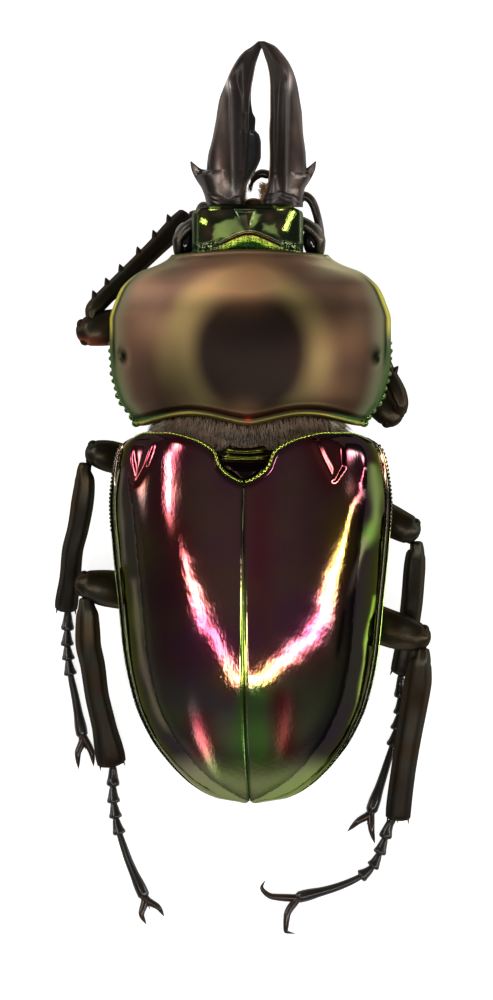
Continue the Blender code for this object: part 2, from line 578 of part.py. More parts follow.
def scutellum(parts):
    """The small rounded shield between the bases of the wing cases."""
    rows = []
    under = []
    for y, half in ((2.95, 1.75), (2.5, 1.75), (2.0, 1.45), (1.55, 0.9), (1.3, 0.45)):
        x = np.linspace(-half, half, 7)
        v = x / half
        rows.append(np.stack((x, np.full(7, y), 10.55 + 0.3 * (1 - v ** 2)), axis=-1))
        under.append(np.stack((x, np.full(7, y), np.full(7, 9.55)), axis=-1))
    top, bottom = (leaned(np.array(sheet), LEAN_HIND) for sheet in (rows, under))
    return plate("scutellum", top, bottom, "green", parts)


def prosternum(parts):
    """The underside of the first body ring, between the front legs."""
    rings = []
    angle = np.linspace(0, 2 * math.pi, 20, endpoint=False)
    v = np.cos(angle)
    for y, half, low in PROSTERNUM:
        top = float(smooth_value(y, PRONOTUM_EDGE_Z)) - PRONOTUM_EAVES - GAP
        z = np.where(np.sin(angle) >= 0, top, top - 0.35 - low * dome(v, 2.0, 0.6))
        rings.append(np.stack((v * half, np.full(20, y), z), axis=-1))
    return loft("prosternum", leaned(np.array(rings), LEAN_FORE), "olive", parts)


def head_sheets():
    rows, columns = 10, 17
    u = np.linspace(0, 1, rows)
    v = np.linspace(-1, 1, columns)
    grid_u, grid_v = np.meshgrid(u, v, indexing="ij")
    half = HEAD_HALF_WIDTH * (1 - 0.1 * grid_u ** 6)
    rear = pronotum_margin_front(grid_v * HEAD_HALF_WIDTH) + GAP + 0.05
    front = HEAD_FRONT - 0.35 * grid_v ** 6
    y = rear + (front - rear) * grid_u
    ridge = 0.5 * np.exp(-((np.abs(grid_v) - 0.74) / 0.14) ** 2) * np.exp(-((grid_u - 0.62) / 0.33) ** 2)
    hollow = 0.55 * np.exp(-(grid_v / 0.22) ** 2) * np.exp(-((grid_u - 0.75) / 0.3) ** 2)
    top = 9.55 - 0.75 * grid_u - 0.95 * grid_v ** 4 + ridge - hollow
    bottom = 4.9 + 0.7 * grid_v ** 4
    upper = np.stack((HEAD_X + grid_v * half, y, top), axis=-1)
    lower = np.stack((HEAD_X + grid_v * half * 0.92, y, bottom), axis=-1)
    return upper, lower


EYES = {"left": (-4.5, 18.95, 6.95), "right": (5.15, 18.95, 6.95)}
EYE_RADIUS = 0.62
CANTHUS = ((3.75, 20.25, 7.75), (4.45, 19.75, 8.0), (5.15, 19.2, 8.0), (5.4, 18.55, 7.9),
(5.35, 17.95, 7.8))


def head(parts, cutters):
    upper, lower = head_sheets()
    made = plate("head", upper, lower, "green", parts)
    bars = []
    for side, sign in (("left", -1), ("right", 1)):
        path = [(HEAD_X + sign * x, y, z) for x, y, z in CANTHUS]
        bars.append(tapered_tube("canthus_" + side, path, (0.32, 0.32, 0.3, 0.28, 0.26), "green", parts))
    fuse(made, bars)
    for side, centre in EYES.items():
        seat = (EYE_RADIUS + GAP,) * 3
        cut(made, ellipsoid("eye_seat_" + side, centre, seat, "green", cutters, 12, 8))
    return made


def eye(side, parts):
    return ellipsoid("eye_" + side, EYES[side], (EYE_RADIUS,) * 3, "black", parts, 12, 8)


def mandible(side, parts):
    """A horn-like jaw that rises towards its tip, hollowed along its back, with one outer prong."""
    table = LEFT_MANDIBLE if side == "left" else RIGHT_MANDIBLE
    lift = -0.5 if side == "left" else 0.5
    angle = np.linspace(0, 2 * math.pi, 16, endpoint=False) + math.pi / 16
    rings = []
    for y, outer, inner in table:
        share = (y - MANDIBLE_ROOT) / (MANDIBLE_TIP - MANDIBLE_ROOT)
        middle = (outer + inner) / 2
        half = (inner - outer) / 2
        high = float(smooth_value(share, ((0, 1.25), (0.3, 1.3), (0.6, 1.1), (0.85, 0.7), (1.0, 0.22))))
        centre = MANDIBLE_Z + MANDIBLE_RISE * share ** 1.7 + lift * share ** 3
        groove = 0.5 * math.sin(math.pi * min(1.0, share * 1.25)) ** 0.7 if share < 0.8 else 0.0
        across = np.cos(angle)
        z = centre + high * np.sin(angle) - groove * np.exp(-(across / 0.45) ** 2) * (np.sin(angle) > 0)
        rings.append(np.stack((middle + half * across, np.full(16, y), z), axis=-1))
    made = loft("mandible_" + side, np.array(rings), "horn", parts)
    stations = np.array(PRONG)
    if side == "right":
        stations[:, 0] = 2 * PRONG_MIRROR_X - stations[:, 0]
    prong = loft("prong_" + side, path_rings(dense_path(stations, 5), 10), "horn", parts)
    return fuse(made, [prong])


def antenna(side, parts):
    """Elbowed feeler: a long curved first joint, then small beads that end in a comb."""
    if side == "right":
        path = ((4.3, 22.05, 6.1), (4.75, 22.0, 6.2), (5.25, 21.3, 6.2), (5.55, 20.2, 6.1),
        (5.7, 19.0, 5.9),
                (5.7, 17.9, 5.6))
        turn = ((5.75, 17.45, 5.5), (5.3, 16.9, 5.0), (4.6, 17.2, 4.5), (3.9, 17.6, 4.1))
        comb = (2.6, 17.9, 3.9)
    else:
        path = ((-2.95, 21.5, 4.5), (-3.3, 21.1, 4.45), (-3.5, 20.3, 4.4), (-3.55, 19.4, 4.35),
        (-3.55, 18.6, 4.3),
                (-3.5, 17.9, 4.3))
        turn = ((-3.45, 17.5, 4.25), (-3.2, 17.0, 4.1), (-2.6, 17.1, 3.95), (-2.0, 17.5, 3.85))
        comb = (-0.7, 17.8, 3.7)
    points = dense_path(path, 9)
    radii = (0.3, 0.34, 0.32, 0.3, 0.3, 0.32, 0.35, 0.38, 0.3)
    scape = tapered_tube("scape_" + side, points, radii, "brown", parts)
    beads = dense_path(turn, 13)
    waves = [0.27 if k % 2 else 0.32 for k in range(13)]
    funicle = tapered_tube("funicle_" + side, beads, waves, "brown", parts)
    root = np.array(turn[-1])
    end = np.array(comb)
    middle = (root + end) / 2
    stem = [root + (root - end) * 0.15, middle, end]
    club = tapered_tube("club_" + side, stem, (0.29, 0.34, 0.28), "brown", parts)
    leaves = []
    for share in (0.25, 0.6, 0.92):
        start = root + (end - root) * share
        leaves.append(cone("leaf", start, start + np.array((0.0, -1.0, -0.25)), 0.3, "brown", parts, 6))
    fuse(funicle, [club] + leaves)
    scape.name = "antenna_scape_" + side
    funicle.name = "antenna_club_" + side
    return scape, funicle


PALPS = {
    "left": ((-0.9, 21.75, 4.6), (-1.0, 22.4, 4.8), (-0.8, 23.0, 5.0), (-0.5, 23.4, 4.9)),
    "right": ((1.7, 21.75, 4.6), (1.9, 22.9, 5.0), (1.5, 23.65, 5.2), (0.8, 23.65, 5.1), (0.42, 23.1, 4.9)),
}


def mouth(parts):
    """Upper lip, chin plate and the two feeler-like palps."""
    lip = np.array([(x, y) for y in (21.75, 22.35) for x in (0.0, 0.5, 1.0)]).reshape(2, 3, 2)
    top = np.concatenate((lip, np.full((2, 3, 1), 7.2)), axis=-1)
    bottom = np.concatenate((lip, np.full((2, 3, 1), 6.3)), axis=-1)
    plate("labrum", top + np.array((0.17, 0, 0)), bottom + np.array((0.17, 0, 0)), "amber", parts)
    u, v = np.meshgrid(np.linspace(0, 1, 5), np.linspace(-1, 1, 7), indexing="ij")
    half = 2.6 * (1 - 0.25 * u ** 2)
    chin = np.stack((HEAD_X + v * half, 18.9 + 2.4 * u, 4.6 + 0 * u), axis=-1)
    under = chin.copy()
    under[..., 2] = 4.05 - 0.15 * (1 - v ** 2)
    plate("mentum", chin, under, "olive", parts)
    for side, points in PALPS.items():
        path = dense_path(points, 7)
        radii = (0.3, 0.26, 0.32, 0.26, 0.33, 0.3, 0.18)
        tapered_tube("palp_" + side, path, radii, "brown", parts)


def rounded_limb(name, stations, sides, finish, collection, count=9):
    """A leg joint along its stations, with both ends rounded off."""
    path = dense_path(stations, count)
    return loft(name, path_rings(path, sides), finish, collection)


def coxa(key, leg, parts, cutters, hosts):
    pair = key.split("_")[1]
    x, y = leg["coxa"]
    centre = (x, y, COXA_Z[pair])
    ellipsoid("coxa_" + key, centre, COXA_SIZE, "olive", parts, 12, 8)
    seat = [value + GAP for value in COXA_SIZE]
    cut(hosts[pair], ellipsoid("coxa_seat_" + key, centre, seat, "olive", cutters, 12, 8))


def tibia(key, leg, parts):
    path = dense_path(leg["tibia"], 11)
    made = loft("tibia_" + key, path_rings(path, 10), "olive", parts)
    along = np.gradient(path[:, :3], axis=0)
    along /= np.linalg.norm(along, axis=1)[:, None]
    side = np.cross(along, (0.0, 0.0, 1.0))
    spines = []
    for share in leg["spines"]:
        k = int(round(share * (len(path) - 1)))
        out = -leg["spine_side"] * side[k]
        root = path[k, :3] + out * (path[k, 3] - 0.3) - along[k] * 0.15
        tip = path[k, :3] + out * (path[k, 3] + leg["spine"]) + along[k] * 0.2
        spines.append(cone("spine", root, tip, 0.42, "olive", parts))
    for number in range(leg["spurs"]):
        out = side[-1] * path[-1, 3] * (0.75 - 0.75 * number)
        root = path[-2, :3] + out
        tip = path[-1, :3] + out * 1.25 + along[-1] * 0.55
        tip[2] = max(tip[2] - 0.1, 0.3)
        spines.append(cone("spur", root, tip, 0.22, "olive", parts))
    return fuse(made, spines)


def tarsus(key, leg, parts):
    """Four short flaring joints and one long one that lie on the floor, ending in two hooked claws."""
    shares = (0.0, 0.13, 0.26, 0.38, 0.5, 1.0)
    path = dense_path([(*point, 0.0, 0.0) for point in leg["tarsus"]], 41)
    stations = []
    for start, end in zip(shares[:-1], shares[1:]):
        for inside, wide, high in ((0.0, 0.33, 0.28), (0.75, 0.5, 0.4), (0.93, 0.47, 0.38)):
            if end == 1.0 and inside == 0.75:
                stations.append((start + (end - start) * 0.5, 0.38, 0.33))
            stations.append((start + (end - start) * inside, wide, high))
    rows = []
    for share, wide, high in stations:
        place = path[int(round(share * 40))]
        rows.append((place[0], place[1], place[2], wide, high))
    made = loft("tarsus_" + key, path_rings(rows, 8, FLOOR), "olive", parts)
    hooks = []
    end = path[-1, :3]
    root = path[-4, :3]
    for points in leg["claws"]:
        hook = dense_path([tuple(root)] + list(points), 7)
        radii = (0.22, 0.25, 0.24, 0.2, 0.17, 0.13, 0.06)
        rings = path_rings(np.column_stack((hook, radii, radii)), 6, FLOOR)
        hooks.append(loft("claw", rings, "brown", parts))
    seat = end * 0.75 + root * 0.25
    hooks.append(ellipsoid("claw_seat", seat, (0.46, 0.46, 0.33), "olive", parts, 8, 6))
    return fuse(made, hooks)


def build():
    clear_scene()
    parts = named_collection("rainbow_stag_beetle")
    cutters = named_collection("cutters")
    head(parts, cutters)
    for side in ("left", "right"):
        eye(side, parts)
        mandible(side, parts)
        antenna(side, parts)
        wing_case(side, parts)
    mouth(parts)
    pronotum(parts)
    mesothorax(parts)
    scutellum(parts)
    abdomen(parts)
    breast = metasternum(parts)
    hosts = {"front": prosternum(parts), "middle": breast, "hind": breast}
    for key, leg in LEGS.items():
        coxa(key, leg, parts, cutters, hosts)
        rounded_limb("femur_" + key, leg["femur"], 10, "olive", parts)
        tibia(key, leg, parts)
        tarsus(key, leg, parts)
    for item in parts.objects:
        item.data.shade_smooth()
        item.data.set_sharp_from_angle(angle=math.radians(50))


build()
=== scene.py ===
import math
import bmesh
import bpy
import numpy as np
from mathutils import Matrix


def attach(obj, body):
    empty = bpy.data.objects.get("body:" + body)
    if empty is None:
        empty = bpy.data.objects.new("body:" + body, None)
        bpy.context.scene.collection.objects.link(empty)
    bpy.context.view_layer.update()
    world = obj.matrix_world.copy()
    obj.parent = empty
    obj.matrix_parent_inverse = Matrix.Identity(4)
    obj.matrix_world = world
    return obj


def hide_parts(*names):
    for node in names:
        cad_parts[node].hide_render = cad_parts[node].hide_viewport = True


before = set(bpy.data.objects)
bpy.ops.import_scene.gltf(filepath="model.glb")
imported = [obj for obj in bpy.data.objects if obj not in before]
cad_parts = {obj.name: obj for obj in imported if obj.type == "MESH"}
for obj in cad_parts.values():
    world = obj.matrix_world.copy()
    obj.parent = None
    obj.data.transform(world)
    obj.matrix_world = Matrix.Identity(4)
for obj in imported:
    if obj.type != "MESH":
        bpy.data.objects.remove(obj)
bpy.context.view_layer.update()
print("frame loaded,", len(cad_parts), "nodes")

# Shapes are worked out in millimetres and scaled when a mesh is made. +Y is towards the jaws.
mm = 0.001
mergeGap = 0.0005       # points closer than this are joined when a piece is finished
bodyX = 0.45            # middle of the body, across the frame
leanHigh = 6.5          # height that the slight lean turns about
leanHind = 0.09         # sideways shift of the rear body for each millimetre of height
leanFore = 0.05         # and of the front body

wingWidth = ((-23.47, 0.6), (-23.1, 2.7), (-22.2, 4.39), (-21.3, 5.43), (-20.4, 6.26), (-18.6, 7.57),
             (-15.9, 8.77), (-12.3, 9.56), (-8.25, 9.98), (-4.65, 10.35), (-1.05, 10.58), (1.65, 10.28),
             (2.8, 10.0), (3.5, 9.55), (3.9, 8.9))
wingEdgeZ = ((-23.5, 5.4), (-21.0, 5.6), (-16.0, 5.9), (-8.0, 6.1), (0.0, 6.3), (4.0, 6.8))
wingDome = ((-23.5, 1.1), (-22.3, 2.4), (-21.0, 3.5), (-17.0, 5.3), (-12.0, 6.3), (-5.0, 6.6), (0.5, 6.0),
            (4.3, 5.0))
wingFront = ((0.0, 0.62), (0.4, 0.72), (0.8, 0.92), (1.5, 1.42), (1.9, 1.95), (2.12, 2.6), (2.35, 2.98),
             (2.8, 3.3), (3.3, 3.6), (4.6, 4.05), (6.0, 4.3), (7.5, 4.3), (8.9, 3.9))
pronotumWidth = ((4.8, 8.55), (5.3, 8.7), (6.0, 9.25), (6.6, 9.7), (8.0, 10.2), (9.3, 10.45), (11.3, 10.55),
                 (12.8, 10.55), (14.2, 10.15), (15.2, 9.7), (16.0, 8.95), (16.5, 8.2), (17.0, 6.9),
                 (17.4, 6.2), (17.8, 5.8))
pronotumEdgeZ = ((4.8, 7.0), (9.0, 6.6), (14.0, 6.7), (18.3, 7.4))
bellyDepth = ((-22.4, 0.9), (-21.0, 1.7), (-17.0, 2.7), (-10.0, 3.5), (0.0, 3.6), (3.5, 3.3))


# Value at each place on a smooth curve through the table's points that never overshoots them.
def smoothValue(place, table):
    xs, ys = (np.array(column, dtype=float) for column in zip(*table))
    place = np.clip(np.asarray(place, dtype=float), xs[0], xs[-1])
    step = np.diff(xs)
    slope = np.diff(ys) / step
    total = slope[:-1] + slope[1:]
    inner = np.where(slope[:-1] * slope[1:] > 0, 2 * slope[:-1] * slope[1:]
                     / np.where(total == 0, 1, total), 0.0)
    tangent = np.concatenate(([slope[0]], inner, [slope[-1]]))
    i = np.clip(np.searchsorted(xs, place) - 1, 0, len(step) - 1)
    t = (place - xs[i]) / step[i]
    rise = t * t * (3 - 2 * t)
    bend = step[i] * t * (1 - t) * ((1 - t) * tangent[i] - t * tangent[i + 1])
    return ys[i] * (1 - rise) + ys[i + 1] * rise + bend


# Bell: e to the power of minus the square of distance over width.
def bump(distance, width):
    return np.exp(-(distance / width) ** 2)


# Smooth step from 0 at low to 1 at high: three times the square minus twice the cube.
def ramp(value, low, high):
    t = np.clip((value - low) / (high - low), 0, 1)
    return t * t * (3 - 2 * t)


# Dome across: one minus a power of the distance from the middle, raised to another power.
def dome(v, flat=2.5, power=0.55):
    return np.clip(1 - np.abs(v) ** flat, 0, 1) ** power


# Distance from each place to the nearest point of a line through the given corners.
def lineGap(x, y, corners):
    best = np.full(np.shape(x), 99.0)
    for (ax, ay), (bx, by) in zip(corners[:-1], corners[1:]):
        dx, dy = bx - ax, by - ay
        t = np.clip(((x - ax) * dx + (y - ay) * dy) / (dx * dx + dy * dy), 0, 1)
        best = np.minimum(best, np.hypot(x - ax - t * dx, y - ay - t * dy))
    return best


# How far each place lies inside a convex outline with clockwise corners, from 0 outside to 1 inside.
def insideOf(x, y, corners, soft=0.07):
    depth = np.full(np.shape(x), 99.0)
    for (ax, ay), (bx, by) in zip(corners, corners[1:] + corners[:1]):
        across = (by - ay) * (x - ax) - (bx - ax) * (y - ay)
        depth = np.minimum(depth, across / math.hypot(bx - ax, by - ay))
    return ramp(depth, -soft, soft)


# Points moved to the body's middle and sideways in proportion to their height.
def leaned(points, lean):
    points = points.copy()
    points[..., 0] += bodyX - lean * (points[..., 2] - leanHigh)
    return points


# Quads of a grid of rows by columns; wrap joins the last column to the first.
def gridFaces(rows, columns, wrap=False, start=0):
    i, j = np.meshgrid(np.arange(rows - 1), np.arange(columns if wrap else columns - 1), indexing="ij")
    k = (j + 1) % columns
    quads = np.stack((i * columns + j, i * columns + k, (i + 1) * columns + k, (i + 1) * columns + j),
                     axis=-1)
    return quads.reshape(-1, 4) + start


# Closed solid between two sheets on one grid: both sheets, and a wall round their shared border.
def walledSheets(top, bottom):
    rows, columns = top.shape[:2]
    count = rows * columns
    index = np.arange(count).reshape(rows, columns)
    border = np.concatenate((index[0, :-1], index[:-1, -1], index[-1, :0:-1], index[:0:-1, 0]))
    after = np.roll(border, -1)
    wall = np.stack((after, border, border + count, after + count), axis=-1)
    faces = np.concatenate((gridFaces(rows, columns), gridFaces(rows, columns)[:, ::-1] + count, wall))
    return np.concatenate((top.reshape(-1, 3), bottom.reshape(-1, 3))), faces


# Points on a smooth curve through the given stations, evenly spread by distance.
def densePath(points, count):
    points = np.array(points, dtype=float)
    reach = np.concatenate(([0.0], np.cumsum(np.linalg.norm(np.diff(points[:, :3], axis=0), axis=1))))
    place = np.linspace(0, reach[-1], count)
    return np.stack([smoothValue(place, list(zip(reach, points[:, k]))) for k in range(points.shape[1])],
                    axis=1)


# Frames across a path: unit vectors along it, level to its side, and up from it.
def pathFrames(centre):
    along = np.gradient(centre, axis=0)
    along /= np.linalg.norm(along, axis=1)[:, None]
    side = np.cross(along, (0.0, 0.0, 1.0))
    side /= np.linalg.norm(side, axis=1)[:, None]
    return along, side, np.cross(side, along)


# Elliptical tube along stations of (x, y, z, half width, half height), closed by rounded ends.
def tube(stations, sides=20, roundness=0.6, floor=None, ridge=0.0):
    table = np.array(stations, dtype=float)
    centre, wide, high = table[:, :3], table[:, 3], table[:, 4]
    along, side, up = pathFrames(centre)
    turn = np.array((1.0, 0.9, 0.68, 0.38)) * math.pi / 2
    grow, push = np.maximum(np.cos(turn), 0.0), np.sin(turn)
    headCentre = centre[:1] - along[:1] * (push * wide[0] * roundness)[:, None]
    tailCentre = centre[-1:] + along[-1:] * (push[::-1] * wide[-1] * roundness)[:, None]
    centre = np.concatenate((headCentre, centre, tailCentre))
    wide = np.concatenate((grow * wide[0], wide, grow[::-1] * wide[-1]))
    high = np.concatenate((grow * high[0], high, grow[::-1] * high[-1]))
    side = np.concatenate((np.repeat(side[:1], 4, axis=0), side, np.repeat(side[-1:], 4, axis=0)))
    up = np.concatenate((np.repeat(up[:1], 4, axis=0), up, np.repeat(up[-1:], 4, axis=0)))
    angle = np.linspace(0, 2 * math.pi, sides, endpoint=False)
    swell = 1 + ridge * np.cos(angle * 3) ** 2
    rings = (centre[:, None] + (wide[:, None] * np.cos(angle) * swell)[..., None] * side[:, None]
             + (high[:, None] * np.sin(angle) * swell)[..., None] * up[:, None])
    if floor is not None:
        rings[..., 2] = np.maximum(rings[..., 2], floor)
    return rings.reshape(-1, 3), gridFaces(len(rings), sides, True)


# Closed rings of equal count, each end drawn in to a point at its own middle.
def ringBody(rings):
    first = rings[:1].mean(axis=1, keepdims=True).repeat(rings.shape[1], axis=1)
    last = rings[-1:].mean(axis=1, keepdims=True).repeat(rings.shape[1], axis=1)
    whole = np.concatenate((first, rings, last))
    return whole.reshape(-1, 3), gridFaces(len(whole), rings.shape[1], True)


# Ball of three half sizes round a centre: circles of latitude between two poles.
def ball(centre, size, rows, columns):
    polar, turn = np.meshgrid(np.linspace(0, math.pi, rows),
                              np.linspace(0, 2 * math.pi, columns, endpoint=False), indexing="ij")
    points = np.stack((np.sin(polar) * np.cos(turn), np.sin(polar) * np.sin(turn), np.cos(polar)), axis=-1)
    points = points * np.array(size) + np.array(centre)
    return points.reshape(-1, 3), gridFaces(rows, columns, True)


# One finished piece from one or more lumps of points and faces, with colour and mask values at its points.
def makePiece(name, lumps, material, nodes, tint, masks=None):
    points, faces, start = [], [], 0
    for lumpPoints, lumpFaces in lumps:
        points.append(lumpPoints)
        faces.extend((lumpFaces + start).tolist())
        start += len(lumpPoints)
    points = np.concatenate(points)
    mesh = bpy.data.meshes.new(name)
    mesh.from_pydata((points * mm).tolist(), [], faces)
    colour = mesh.attributes.new("tint", "FLOAT_COLOR", "POINT")
    values = np.ones((len(points), 4), dtype=np.float32)
    values[:, :3] = tint
    colour.data.foreach_set("color", values.ravel())
    for label, value in (masks or {}).items():
        mask = mesh.attributes.new(label, "FLOAT", "POINT")
        mask.data.foreach_set("value", np.asarray(value, dtype=np.float32).ravel())
    work = bmesh.new()
    work.from_mesh(mesh)
    bmesh.ops.remove_doubles(work, verts=work.verts, dist=mergeGap * mm)
    bmesh.ops.recalc_face_normals(work, faces=work.faces)
    for face in work.faces:
        face.smooth = True
    work.to_mesh(mesh)
    work.free()
    mesh.materials.append(material)
    piece = bpy.data.objects.new(name, mesh)
    bpy.context.scene.collection.objects.link(piece)
    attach(piece, "root")
    if nodes:
        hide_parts(*nodes)


# Maker of arithmetic nodes in a node tree: numbers are set on the sockets and outputs are linked to them.
def arithmetic(tree):
    def compute(operation, a, b=0.0):
        node = tree.nodes.new("ShaderNodeMath")
        node.operation = operation
        for socket, value in zip(node.inputs, (a, b)):
            if isinstance(value, (int, float)):
                socket.default_value = value
            else:
                tree.links.new(value, socket)
        return node.outputs[0]

    return compute


# Shared effect: fine grain, long wrinkles and small pits as a height, and a slow drift between two colours.
def buildCuticleGroup():
    group = bpy.data.node_groups.new("cuticleDetail", "ShaderNodeTree")
    for label, kind in (("Colour", "NodeSocketColor"), ("Drift Colour", "NodeSocketColor"),
                        ("Drift", "NodeSocketFloat"), ("Drift Scale", "NodeSocketFloat"),
                        ("Grain", "NodeSocketFloat"), ("Grain Scale", "NodeSocketFloat"),
                        ("Wrinkle", "NodeSocketFloat"), ("Pits", "NodeSocketFloat"),
                        ("Pit Scale", "NodeSocketFloat")):
        group.interface.new_socket(name=label, in_out="INPUT", socket_type=kind)
    group.interface.new_socket(name="Colour", in_out="OUTPUT", socket_type="NodeSocketColor")
    group.interface.new_socket(name="Height", in_out="OUTPUT", socket_type="NodeSocketFloat")
    nodes, links = group.nodes, group.links
    compute = arithmetic(group)
    inputs = nodes.new("NodeGroupInput")
    outputs = nodes.new("NodeGroupOutput")
    place = nodes.new("ShaderNodeTexCoord")

    def noise(scaleSocket, detail, stretch=(1, 1, 1)):
        mapping = nodes.new("ShaderNodeMapping")
        mapping.inputs["Scale"].default_value = stretch
        links.new(place.outputs["Object"], mapping.inputs["Vector"])
        texture = nodes.new("ShaderNodeTexNoise")
        texture.inputs["Detail"].default_value = detail
        links.new(mapping.outputs["Vector"], texture.inputs["Vector"])
        if isinstance(scaleSocket, (int, float)):
            texture.inputs["Scale"].default_value = scaleSocket
        else:
            links.new(scaleSocket, texture.inputs["Scale"])
        return texture.outputs["Fac"]

    slow = noise(inputs.outputs["Drift Scale"], 2.0)
    spread = nodes.new("ShaderNodeMapRange")
    spread.inputs["From Min"].default_value = 0.38
    spread.inputs["From Max"].default_value = 0.62
    links.new(slow, spread.inputs["Value"])
    mix = nodes.new("ShaderNodeMix")
    mix.data_type = "RGBA"
    links.new(compute("MULTIPLY", spread.outputs["Result"], inputs.outputs["Drift"]), mix.inputs["Factor"])
    links.new(inputs.outputs["Colour"], mix.inputs[6])
    links.new(inputs.outputs["Drift Colour"], mix.inputs[7])
    links.new(mix.outputs[2], outputs.inputs["Colour"])
    grain = compute("MULTIPLY", noise(inputs.outputs["Grain Scale"], 3.0), inputs.outputs["Grain"])
    wrinkle = compute("MULTIPLY", noise(4200.0, 4.0, (1.0, 0.4, 1.0)), inputs.outputs["Wrinkle"])
    cells = nodes.new("ShaderNodeTexVoronoi")
    links.new(place.outputs["Object"], cells.inputs["Vector"])
    links.new(inputs.outputs["Pit Scale"], cells.inputs["Scale"])
    hole = nodes.new("ShaderNodeMapRange")
    hole.inputs["From Min"].default_value = 0.0
    hole.inputs["From Max"].default_value = 0.42
    links.new(cells.outputs["Distance"], hole.inputs["Value"])
    pits = compute("MULTIPLY", hole.outputs["Result"], inputs.outputs["Pits"])
    links.new(compute("ADD", compute("ADD", grain, wrinkle), pits), outputs.inputs["Height"])
    return group


cuticleGroup = buildCuticleGroup()


# Cuticle or horn: a Principled shader with the shared detail. The colour comes from the piece's tint.
def cuticle(name, look):
    material = bpy.data.materials.new(name)
    material.use_nodes = True
    nodes, links = material.node_tree.nodes, material.node_tree.links
    shader = nodes["Principled BSDF"]
    detail = nodes.new("ShaderNodeGroup")
    detail.node_tree = cuticleGroup
    tint = nodes.new("ShaderNodeAttribute")
    tint.attribute_name = "tint"
    links.new(tint.outputs["Color"], detail.inputs["Colour"])
    drift = nodes.new("ShaderNodeMix")
    drift.data_type = "RGBA"
    drift.blend_type = "MULTIPLY"
    drift.inputs["Factor"].default_value = 1.0
    links.new(tint.outputs["Color"], drift.inputs[6])
    drift.inputs[7].default_value = (*look.get("driftTint", (0.7, 0.8, 0.6)), 1.0)
    links.new(drift.outputs[2], detail.inputs["Drift Colour"])
    for label, key, usual in (("Drift", "drift", 0.5), ("Drift Scale", "driftScale", 300.0),
                              ("Grain", "grain", 0.3), ("Grain Scale", "grainScale", 9000.0),
                              ("Wrinkle", "wrinkle", 0.0), ("Pits", "pits", 0.0),
                              ("Pit Scale", "pitScale", 4000.0)):
        detail.inputs[label].default_value = look.get(key, usual)
    links.new(detail.outputs["Colour"], shader.inputs["Base Color"])
    relief = nodes.new("ShaderNodeBump")
    relief.inputs["Strength"].default_value = look.get("relief", 0.3)
    relief.inputs["Distance"].default_value = look.get("reliefDepth", 0.02) * mm
    links.new(detail.outputs["Height"], relief.inputs["Height"])
    links.new(relief.outputs["Normal"], shader.inputs["Normal"])
    shader.inputs["Metallic"].default_value = look.get("metallic", 0.9)
    shader.inputs["Roughness"].default_value = look.get("roughness", 0.3)
    shader.inputs["Coat Weight"].default_value = look.get("coat", 0.0)
    shader.inputs["Coat Roughness"].default_value = look.get("coatRoughness", 0.05)
    shader.inputs["Specular IOR Level"].default_value = look.get("specular", 0.5)
    if "satin" in look:
        mask = nodes.new("ShaderNodeAttribute")
        mask.attribute_name = "satin"
        spread = nodes.new("ShaderNodeMapRange")
        spread.inputs["To Min"].default_value = look["roughness"]
        spread.inputs["To Max"].default_value = look["satin"]
        links.new(mask.outputs["Fac"], spread.inputs["Value"])
        links.new(spread.outputs["Result"], shader.inputs["Roughness"])
    if "edgeTint" in look:
        shader.inputs["Specular Tint"].default_value = (*look["edgeTint"], 1.0)
    return material


mirrorWine = cuticle("mirrorWine", {"metallic": 1.0, "roughness": 0.065, "drift": 0.5, "driftScale": 170.0,
                                    "driftTint": (1.25, 2.2, 0.5), "grain": 0.25, "grainScale": 1500.0,
                                    "wrinkle": 1.2, "relief": 0.35, "reliefDepth": 0.015,
                                    "edgeTint": (0.6, 0.62, 0.45)})
satinBronze = cuticle("satinBronze", {"metallic": 1.0, "roughness": 0.48, "drift": 0.35, "driftScale": 120.0,
                                      "driftTint": (1.15, 0.8, 0.75), "grain": 0.5, "grainScale": 5200.0,
                                      "relief": 0.25, "reliefDepth": 0.01, "edgeTint": (0.6, 0.62, 0.5)})
leafGreen = cuticle("leafGreen", {"metallic": 1.0, "roughness": 0.2, "drift": 0.5, "driftScale": 900.0,
                                  "driftTint": (0.55, 0.45, 0.5), "grain": 0.4, "grainScale": 3000.0,
                                  "pits": 0.5, "pitScale": 3600.0, "relief": 0.4, "reliefDepth": 0.03})
headGreen = cuticle("headGreen", {"metallic": 1.0, "roughness": 0.16, "satin": 0.44, "drift": 0.4,
                                  "driftScale": 900.0, "driftTint": (0.6, 0.55, 0.5), "grain": 0.3,
                                  "grainScale": 3000.0, "pits": 0.25, "pitScale": 3600.0, "relief": 0.3,
                                  "reliefDepth": 0.02})
darkHorn = cuticle("darkHorn", {"metallic": 0.6, "roughness": 0.3, "drift": 0.6, "driftScale": 500.0,
                                "driftTint": (0.75, 0.6, 0.6), "grain": 0.5, "grainScale": 5000.0,
                                "pits": 0.15, "pitScale": 2600.0, "relief": 0.3, "reliefDepth": 0.015,
                                "coat": 0.25, "coatRoughness": 0.2})
oliveLeg = cuticle("oliveLeg", {"metallic": 0.85, "roughness": 0.36, "drift": 0.7, "driftScale": 420.0,
                                "driftTint": (1.1, 0.7, 0.5), "grain": 0.6, "grainScale": 4200.0, "pits": 0.2,
                                "pitScale": 3400.0, "relief": 0.35, "reliefDepth": 0.02,
                                "edgeTint": (0.25, 0.22, 0.18)})
brownClaw = cuticle("brownClaw", {"metallic": 0.3, "roughness": 0.28, "drift": 0.6, "driftScale": 800.0,
                                  "driftTint": (0.5, 0.4, 0.4), "grain": 0.3, "relief": 0.2, "coat": 0.4,
                                  "coatRoughness": 0.1})
bellyOlive = cuticle("bellyOlive", {"metallic": 0.7, "roughness": 0.33, "drift": 0.7, "driftScale": 260.0,
                                    "driftTint": (0.75, 1.1, 0.5), "grain": 0.5, "grainScale": 3600.0,
                                    "pits": 0.6, "pitScale": 2800.0, "relief": 0.4, "reliefDepth": 0.03})
